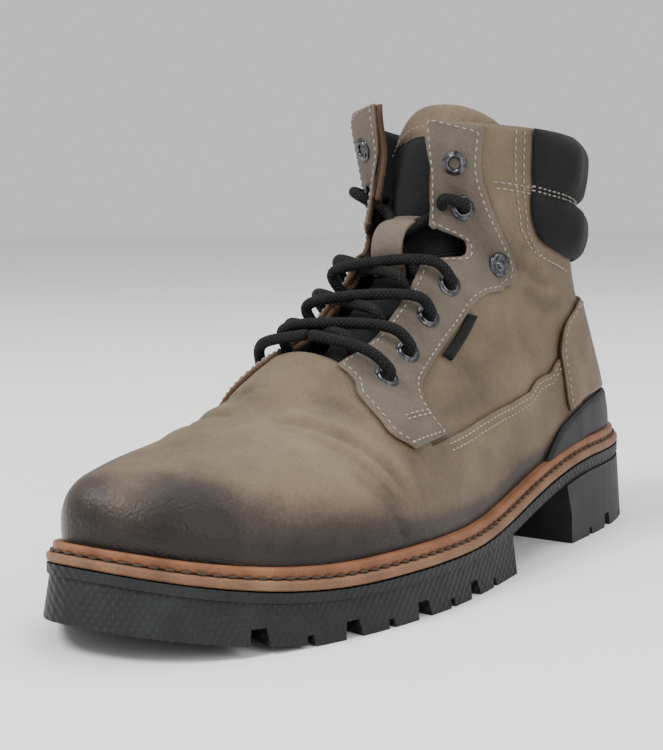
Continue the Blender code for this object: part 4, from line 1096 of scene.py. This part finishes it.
# %% Eyelets and rivet
# along, up, lift where the leather is hollow
EYELETS = [
    (0.502, 0.620, 0), (0.563, 0.647, 0), (0.623, 0.680, 0),
    (0.680, 0.675, 0), (0.797, 0.695, 0.0020), (0.837, 0.863, 0),
]
RIVET_AT = (0.808, 0.530, 0.0014)
ROUND = 72                # points round a turned part
TEETH = 24
MILL = 0.10               # ripple of a washer's rim, in millimetres


def seat(turn, at, height):
    """Point, normal and up-the-boot direction of a fastener's seat."""
    along = at[0] if turn > 0 else 2 - at[0]
    p, n = cover(np.array(along), np.array(at[1]), height + at[2])
    up = np.array([0, 0, 1.0]) - n * n[2]
    return p, n, up / np.linalg.norm(up)


def turned(name, profile, place, mill, slot, node, closed):
    """Profile (radius, height) in millimetres turned round the seat's normal; mill ripples the rim."""
    p, n, up = place
    row = np.array(profile) * MM
    if closed:
        row = np.concatenate([row, row[:1]])
    angle = np.linspace(0, 2 * np.pi, ROUND, endpoint=False)
    rim = smooth((row[:, 0] / row[:, 0].max() - 0.86) / 0.10)[:, None]
    radius = row[:, 0][:, None] + mill * MM * rim * np.sin(TEETH * angle)
    side_way = np.cross(up, n)
    points = (p + (radius * np.cos(angle))[..., None] * side_way + (radius * np.sin(angle))[..., None] * up
              + row[:, 1][:, None, None] * n)
    obj = make(name, points, quads(len(row), ROUND, wrap=True), [METAL], recalc=True)
    return settle(obj, slot, node)


EYELET_PROFILE = [
    (2.1, -3.2), (2.1, 0.3), (2.25, 0.75), (2.6, 1.05), (3.0, 1.12), (3.35, 0.98), (3.6, 0.66),
    (3.7, 0.42), (4.0, 0.40), (4.45, 0.30), (4.55, 0.05), (4.3, -0.3), (2.5, -0.5), (2.5, -3.2),
]
RIVET_PROFILE = [
    (0, 1.95), (0.8, 1.85), (1.25, 1.55), (1.4, 1.05), (1.5, 0.85), (2.4, 0.80), (3.3, 0.95), (3.9, 0.90),
    (4.35, 0.62), (4.5, 0.2), (4.4, -0.3), (0, -0.3),
]
for turn, word in ((1, "lateral"), (-1, "medial")):
    for i, at in enumerate(EYELETS):
        place = seat(turn, at, FACE_LIFT + float(vamp_lift(np.array(at[0]))))
        name = f"{word}_{i + 1}"
        turned("eyelet_ring_" + name, EYELET_PROFILE, place, MILL, "eyelet_metal", "eyelet_" + name, True)
turned("rivet_head", RIVET_PROFILE, seat(1, RIVET_AT, FACE_LIFT), 0.0, "eyelet_metal", "rivet", False)
print(2 * len(EYELETS), "eyelets and a rivet")

# %% [markdown]
# A small plain ribbon is caught in the outer facing's back seam. It is a patch like the leathers.

# %% Side tab
TAB = [(0.607, 0.545, 0.615, 0.505), (0.645, 0.552, 0.655, 0.514), (0.682, 0.556, 0.695, 0.520)]
TAB_FACE = SEAT + 1.2 * MM
TAB_THICK = 1.4 * MM
row = smooth_path(TAB, 40)
share = np.linspace(0, 1, 14)
along = row[:, 0][:, None] + (row[:, 2] - row[:, 0])[:, None] * share
up = row[:, 1][:, None] + (row[:, 3] - row[:, 1])[:, None] * share
patch("side_tab_ribbon", along, up, TAB_FACE, TAB_THICK, [LINING, LINING], "tab_fabric", "side_tab")
print("side tab", along.shape)

# %% [markdown]
# One cord laces the boot. A bar lies over the lowest pair of eyelets; each half then goes in, runs
# under its flap, comes up in the gap and crosses to the other side's next eyelet. Both ends stop
# inside at the fifth pair. The route is a list of places by the eyelets, joined by one smooth curve.

# %% Route of the lace
LACE = 0.0041
EYELET_WIRE = 0.0011
CLEAR = LACE / 2 + EYELET_WIRE + SEAT / 2
# by the keeper: share up the tongue, share across to the starting side, height over the tongue's face
KEEPER_CROSSING = [
    [(0.50, 0.75, 2.6), (0.54, 0.28, 2.5), (0.60, -0.20, 2.5), (0.68, -0.62, 3.6)],
    [(0.50, 0.80, 3.6), (0.54, 0.30, 6.3), (0.60, -0.20, 6.5), (0.68, -0.62, 5.2)],
]
OVER_EDGE = (0.757, 0.800)   # where the last strand crosses the facing's edge


def on_facing(turn, along, up, height, extra=0.0):
    """Point at a height over the facing's face, or under it where the height is negative."""
    place = along if turn > 0 else 2 - along
    lift = FACE_LIFT + 0.6 * MM + float(vamp_lift(np.array(along))) + extra + height
    return skin(np.array(place), np.array(up), lift)[0]


def half_route(start_turn):
    """Points of one half of the lace from the middle of the bar to its hidden end."""
    first = EYELETS[0]
    lip = float(throat_edge(np.array([first[0]]))[0])
    left = on_facing(-start_turn, first[0] - 0.006, lip - 0.04, CLEAR + MM)
    right = on_facing(start_turn, first[0] - 0.006, lip - 0.04, CLEAR + MM)
    route = [(left + right) / 2 + np.array([0, -0.002, 0.004]), right]
    turn = start_turn
    for i in range(4):
        here, there = EYELETS[i], EYELETS[i + 1]
        lip = float(throat_edge(np.array([here[0]]))[0])
        far_lip = float(throat_edge(np.array([there[0]]))[0])
        route.append(on_facing(turn, here[0], here[1] + 0.010, CLEAR - 0.9 * MM, here[2]))
        route.append(on_facing(turn, here[0], here[1] - 0.004, -2.0 * MM, here[2]))
        route.append(on_facing(turn, here[0] + 0.001, here[1] + 0.03, -FACE_LIFT - WALL - 2.6 * MM))
        route.append(on_facing(turn, here[0] + 0.006, lip - 0.02, -FACE_LIFT - WALL - 1.0 * MM))
        over = 0.0036 if turn < 0 else 0.0
        low = on_facing(turn, here[0] + 0.010, min(lip + 0.06, 1.0), (CLEAR + over) * 0.55)
        high = on_facing(-turn, there[0] - 0.006, min(far_lip - 0.03, 0.85), CLEAR + 1.2 * MM)
        cross = (low + high) / 2 + np.array([0, -0.001, 0.001]) * (2 if turn < 0 else 0)
        if i == 3:
            share, across, height = np.array(KEEPER_CROSSING[turn < 0]).T
            under = tongue_point(share, across * turn, -height * MM)
            high = on_facing(-turn, *OVER_EDGE, CLEAR + 0.8 * MM)
            route += [*under, high]
        else:
            route += [low, cross, high]
        turn = -turn
    last = EYELETS[4]
    route.append(on_facing(turn, last[0], last[1] + 0.010, CLEAR - 0.9 * MM, last[2]))
    route.append(on_facing(turn, last[0], last[1] - 0.004, -2.0 * MM, last[2]))
    route.append(on_facing(turn, last[0], last[1] - 0.01, -FACE_LIFT - WALL - 3.0 * MM))
    return np.array(route)


for start in (1, -1):
    print("hand-chosen places of one half:", len(half_route(start)))

# %% [markdown]
# The cord is a tube carried along its route: at each place a ring of points stands across the path.
# The rings' directions are passed on from place to place without twist, so the braid runs true.

# %% Cord


def even(points, step):
    """The same curve with points a step apart; more columns, such as normals, go with the points."""
    run = np.concatenate([[0], np.cumsum(np.linalg.norm(np.diff(points[:, :3], axis=0), axis=1))])
    at = np.linspace(0, run[-1], int(run[-1] / step) + 1)
    return np.stack([np.interp(at, run, points[:, i]) for i in range(points.shape[1])], -1), at


def cord_mesh(name, path, radius):
    """Tube along a path: frames carried without twist, a ring of points at each, closed round ends."""
    tangent = np.gradient(path, axis=0)
    tangent /= np.linalg.norm(tangent, axis=1, keepdims=True)
    side_way = np.cross(tangent[0], [0, 0, 1.0])
    frames = []
    for way in tangent:
        side_way = side_way - way * np.dot(side_way, way)
        side_way = side_way / np.linalg.norm(side_way)
        frames.append(side_way)
    frames = np.array(frames)
    third = np.cross(tangent, frames)
    angle = np.linspace(0, 2 * np.pi, CORD_SIDES + 1)
    run = np.concatenate([[0], np.cumsum(np.linalg.norm(np.diff(path, axis=0), axis=1))])
    from_end = np.minimum(run, run[-1] - run)
    taper = np.sqrt(np.clip(1 - (1 - np.clip(from_end / radius, 0, 1)) ** 2, 0, 1))
    twist = run[:, None] * STRAND_TURN
    ripple = 1 + 0.03 * np.sin(4 * angle + twist) * np.sin(4 * angle - twist)
    r = (radius * taper)[:, None] * ripple
    points = path[:, None] + (r * np.cos(angle))[..., None] * frames[:, None]
    points = points + (r * np.sin(angle))[..., None] * third[:, None]
    uv = np.stack(np.broadcast_arrays(angle * radius, run[:, None]), -1)
    return make(name, points, quads(len(path), CORD_SIDES + 1), [CORD], uv=uv, recalc=True)


CORD_SIDES = 18
CORD_STEP = 0.6 * MM
STRAND_TURN = 1900        # radians of a strand's wave for each metre of cord
LACE_NODES = ["lace_bar"] + [f"lace_cross_{i}" for i in range(2, 6)]
lace_length = 0.0
for turn, word in ((1, "outer"), (-1, "inner")):
    path, run = even(smooth_path(half_route(turn), 900), CORD_STEP)
    lace = cord_mesh("lace_half_" + word, path, LACE / 2)
    settle(lace, "lace_cord", *LACE_NODES)
    lace_length += run[-1]
print("lace", round(lace_length, 3), "m")

# %% [markdown]
# A stitch is a short bead of waxed thread that dips into the leather at both ends. One bead is made
# as a small grid and set by arrays at every step of each seam line, so a whole seam is one mesh.

# %% Beads and seams


def bead(length, radius):
    """Bead on six rings of six points: an arch along x that sinks at its ends, z out of the leather."""
    s = np.linspace(-1, 1, 6)
    r = radius * np.sqrt(np.clip(1.02 - s ** 4, 0, 1))
    angle = np.linspace(0, 2 * np.pi, 6, endpoint=False)
    x = np.broadcast_to((s * length / 2)[:, None], (6, 6))
    y = r[:, None] * np.cos(angle)
    z = r[:, None] * np.sin(angle) * 0.8 + (radius * 0.55 - radius * 1.3 * s ** 4)[:, None]
    return np.stack([x, y, z], -1).reshape(-1, 3)


def sew(name, seams, mat, slot, length=1.9, gap=1.0, radius=0.30):
    """All seams of a thread in one mesh; each seam is a (points, normals) pair."""
    places = []
    for points, normals in seams:
        joined = even(np.concatenate([points, normals], 1), (length + gap) * MM)[0]
        p, n = joined[:, :3], joined[:, 3:]
        way = np.gradient(p, axis=0)
        way /= np.linalg.norm(way, axis=1, keepdims=True)
        n = n - way * (n * way).sum(1, keepdims=True)
        n /= np.linalg.norm(n, axis=1, keepdims=True)
        places.append(np.stack([p, way, np.cross(n, way), n], 1))
    place = np.concatenate(places)
    one = bead(length * MM, radius * MM)
    points = place[:, None, 0] + np.einsum("kj,njc->nkc", one, place[:, 1:])
    caps = [[0, 1, 2, 3], [0, 3, 4, 5], [30, 33, 32, 31], [30, 35, 34, 33]]
    face = np.concatenate([quads(6, 6, wrap=True), caps])
    faces = (face[None] + 36 * np.arange(len(place))[:, None, None]).reshape(-1, 4)
    obj = make(name, points, faces, [mat], recalc=True)
    print(name, len(place), "stitches")
    return settle(obj, slot)


def sample(grid, r, c):
    """Bilinear reading of a grid at fractional rows and columns."""
    r = np.clip(r, 0, grid.shape[0] - 1.001)
    c = np.clip(c, 0, grid.shape[1] - 1.001)
    i, j = r.astype(int), c.astype(int)
    f, g = (r - i)[:, None], (c - j)[:, None]
    return ((grid[i, j] * (1 - g) + grid[i, j + 1] * g) * (1 - f)
            + (grid[i + 1, j] * (1 - g) + grid[i + 1, j + 1] * g) * f)


def inset_loop(points, normals, inset):
    """Closed seam at an inset from all four borders of a grid."""
    rows, cols = points.shape[:2]
    across = np.linalg.norm(np.diff(points, axis=1), axis=2).sum(1) / (cols - 1)
    r = np.linspace(0, rows - 1, rows)
    c_in = np.minimum(inset / across, (cols - 1) * 0.45)
    first = inset / np.linalg.norm(points[6] - points[0], axis=1).mean() * 6
    last = rows - 1 - inset / np.linalg.norm(points[-7] - points[-1], axis=1).mean() * 6
    inner = r[(r > first) & (r < last)]
    c = np.interp(inner, r, c_in)
    cross = np.linspace(0, 1, 12)
    rr = np.concatenate([inner, np.full(12, inner[-1]), inner[::-1], np.full(12, inner[0])])
    top = c[-1] + (cols - 1 - 2 * c[-1]) * cross
    low = c[0] + (cols - 1 - 2 * c[0]) * cross[::-1]
    cc = np.concatenate([c, top, (cols - 1 - c)[::-1], low])
    return sample(points, rr, cc), sample(normals, rr, cc)


def seam_on(points, lift, turn=1, count=60):
    """Seam through chart points given for the lateral side, at a height above the last."""
    row = smooth_path(points, count)
    along = row[:, 0] if turn > 0 else 2 - row[:, 0]
    return cover(along, row[:, 1], lift)


def down(along, up, drop):
    """Share up the section that lies a drop in metres below another."""
    rate = np.linalg.norm(form(along, up + 0.01) - form(along, up - 0.01), axis=-1) / 0.02
    return up - drop / rate


print("one bead has", len(bead(1.9 * MM, 0.3 * MM)), "points")

# %% [markdown]
# Seams are placed where the needle went: one row inside each facing's border, a double row across its
# foot, two rows under the wing's edge, two beside the cuff and two across the top panel.

# %% Seam lines on both sides
STITCH_INSET = 2.2 * MM   # border to its row of stitches
ON_WALL = 0.0002          # a seam that lies on the wall itself
FOOT_SEAM = [(0.452, 0.470), (0.485, 0.452), (0.515, 0.437)]
TOP_SEAM = [(0.868, 0.838), (0.882, 0.846), (0.898, 0.852)]
CUFF_SEAM = [(0.902, 0.985), (0.897, 0.870), (0.892, 0.758), (0.889, 0.703), (0.896, 0.644), (0.925, 0.635)]
pale, faced = [], []
for turn in (1, -1):
    faced.append(inset_loop(*facings[turn][1:], STITCH_INSET))
    for shift in (0.0, 0.016):
        seam = np.array(FOOT_SEAM) - [0, shift]
        faced.append(seam_on(seam, FACE_LIFT + WING_STEP * 0.6, turn, 20))
    u = np.linspace(0.532, 0.866, 150)
    for drop in (1.9, 4.3):
        v = down(u, wing_edge(u), drop * MM)
        along = u if turn > 0 else 2 - u
        pale.append(cover(along, v, VAMP_FACE))
    for shift in (0.0, 0.018):
        pale.append(seam_on(np.array(TOP_SEAM) - [0, shift], ON_WALL, turn, 20))
    for step in (0.0055, 0.0115):
        pale.append(seam_on(np.array(CUFF_SEAM) - [step, 0], ON_WALL, turn, 70))
print(len(faced), "seams on the facings,", len(pale), "on the wall")

# %% [markdown]
# The back panel has one row inside its border. Its grid gives the places: a column that lies an inset
# from the edge in every row, and one row near the top. Then each thread's seams are sewn.

# %% Back panel seam, and sewing the leather
_, points, normals = back_panel
cols = points.shape[1]
width = np.linalg.norm(np.diff(points, axis=1), axis=2).sum(1)
rows_at = np.arange(2, points.shape[0] - 1, dtype=float)
col_in = STITCH_INSET / width[2:-1] * (cols - 1)
pale.append((sample(points, rows_at, col_in), sample(normals, rows_at, col_in)))
pale.append((sample(points, rows_at, cols - 1 - col_in), sample(normals, rows_at, cols - 1 - col_in)))
top_cols = np.linspace(col_in[-1], cols - 1 - col_in[-1], 120)
top_rows = np.full(120, points.shape[0] - 3.5)
pale.append((sample(points, top_rows, top_cols), sample(normals, top_rows, top_cols)))
sew("seams_leather", pale, THREAD, "upper_leather")
sew("seams_facing", faced, THREAD, "eyestay_leather")

# %% [markdown]
# The cuff's groove is sewn with two rows, and the tongue's leather roll with one.

# %% Seams of the pads
groove = []
for shift in (-2.2, 2.2):
    cols_at = np.linspace(4, CUFF_COLS - 5, 300)
    row_at = np.full(300, GROOVE_ROW * (CUFF_ROWS - 1) + shift)
    groove.append((sample(cuff_outer, row_at, cols_at), sample(cuff_normal, row_at, cols_at)))
sew("seams_cuff", groove, THREAD, "cuff_nubuck")
t = np.full(60, ROLL_FROM + 0.022)
a = np.linspace(-0.93, 0.93, 60)
line = tongue_point(t, a, 0 * a)
out = line - tongue_point(t, a, 0 * a + 0.001)
roll_seam = [(line, out / np.linalg.norm(out, axis=1, keepdims=True))]
sew("seam_tongue_roll", roll_seam, THREAD, "tongue_fabric")

# %% [markdown]
# Welt and midsole are strips of sole leather. Each is a rounded profile carried round the outline,
# which keeps its height line. Dark lockstitches lie in the channel between them.

# %% Welt and midsole


# outward from the midsole's edge and up from its underside, in millimetres
WELT_PROFILE = [(-11.0, 3.7), (-3.0, 3.7), (-2.4, 3.8), (-2.2, 4.3), (-2.2, 6.2), (-2.5, 6.8), (-3.1, 7.1),
                (-8.0, 7.1), (-11.0, 7.1)]
MIDSOLE_PROFILE = [(-40.0, 0.05), (-1.2, 0.05), (-0.5, 0.25), (-0.1, 0.9), (0.0, 1.7), (-0.1, 2.5),
                   (-0.5, 3.1), (-1.3, 3.4), (-40.0, 3.4)]
SOLE_STEPS = 720


def carried(name, profile, mats, slot, node):
    """Closed profile carried round the sole's outline, each point at its own growth and height."""
    angle = np.linspace(0, 2 * np.pi, SOLE_STEPS, endpoint=False)
    row = np.array(profile) * MM
    row = np.concatenate([row, row[:1]])
    edge_line, normal = outline(angle), (outline(angle, 0.001) - outline(angle)) / 0.001
    xy = edge_line[None] + row[:, 0][:, None, None] * normal[None]
    z = sole_line(xy[..., 1]) + row[:, 1][:, None]
    wear_and_painted_light = 0.08 * np.sin(angle * 37) * np.sin(angle * 11) + 0 * z
    points = np.concatenate([xy, z[..., None]], -1)
    face = quads(len(row), SOLE_STEPS, wrap=True)
    obj = make(name, points, face, mats, marks={"wear_and_painted_light": wear_and_painted_light}, recalc=True)
    return settle(obj, slot, node)


carried("welt_strip", WELT_PROFILE, [WELT_LEATHER], "welt_leather", "welt")
carried("midsole_strip", MIDSOLE_PROFILE, [MIDSOLE_LEATHER], "midsole_leather", "midsole")
angle = np.linspace(0, 2 * np.pi, SOLE_STEPS)
edge_line = outline(angle, -1.75 * MM)
normal = (outline(angle, 0.001) - outline(angle)) / 0.001
channel = np.column_stack([edge_line, sole_line(edge_line[:, 1]) + 4.0 * MM])
lockstitch = [(channel, np.column_stack([normal, 0 * angle]))]
sew("seam_welt", lockstitch, DARK_THREAD, "welt_leather", 3.6, 1.2, 0.5)

# %% [markdown]
# Outsole, heel block and insole keep their CAD solids, whose shape is right, and take a finish.

# %% Sole finishes
for node, mat in (("outsole", RIBBED_RUBBER), ("heel_block", SMOOTH_RUBBER), ("insole", FELT)):
    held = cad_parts[node]
    for material_slot in held.material_slots:
        material_slot.material = mat
    print(node, mat.name)

# %% [markdown]
# The studio: a pale matt floor, a pale room light and three broad lamps, the main one high on the
# left of the camera, as the photograph's soft shadows say.

# %% Floor and light


def floor():
    """Disc of a few rings round the boot, wide enough to fill every view."""
    angle = np.linspace(0, 2 * np.pi, 64, endpoint=False)
    radius = np.array([0.0, 0.4, 1.2, 6.0])[:, None]
    points = np.stack([radius * np.cos(angle), radius * np.sin(angle), 0 * radius * angle], -1)
    mat, shader, place = finish("matt_paper_floor", Roughness=0.9)
    grain = add_node(mat, "ShaderNodeTexNoise", {"Vector": place.outputs["Object"], "Scale": 8.0})
    paint(mat, shader, grain.outputs["Fac"], [(0.3, "#f4f4f3"), (0.7, "#f7f7f6")])
    upward = np.broadcast_to([0, 0, 1.0], points.shape)
    ground = make("floor", points, quads(4, 64, wrap=True), [mat], outward=upward)


def lamp(name, at, size, power):
    """Round soft lamp that looks at the boot; place and size in metres, power in watts."""
    data = bpy.data.lights.new(name, "AREA")
    data.shape = "DISK"
    data.size = size
    data.energy = power
    obj = bpy.data.objects.new(name, data)
    aim = Vector((0, 0, 0.07)) - Vector(at)
    obj.matrix_world = Matrix.Translation(at) @ aim.to_track_quat("-Z", "Y").to_matrix().to_4x4()
    bpy.context.scene.collection.objects.link(obj)


floor()
lamp("key", (-0.35, -1.15, 1.45), 0.7, 32.0)
lamp("fill", (1.5, -0.3, 0.9), 1.2, 12.0)
lamp("top", (0.1, 0.5, 1.7), 1.2, 16.0)
world = bpy.data.worlds.new("room")
world.use_nodes = True
world.node_tree.nodes["Background"].inputs["Color"].default_value = colour("#ffffff")
world.node_tree.nodes["Background"].inputs["Strength"].default_value = 0.72
bpy.context.scene.world = world
print("three lamps and a pale room")
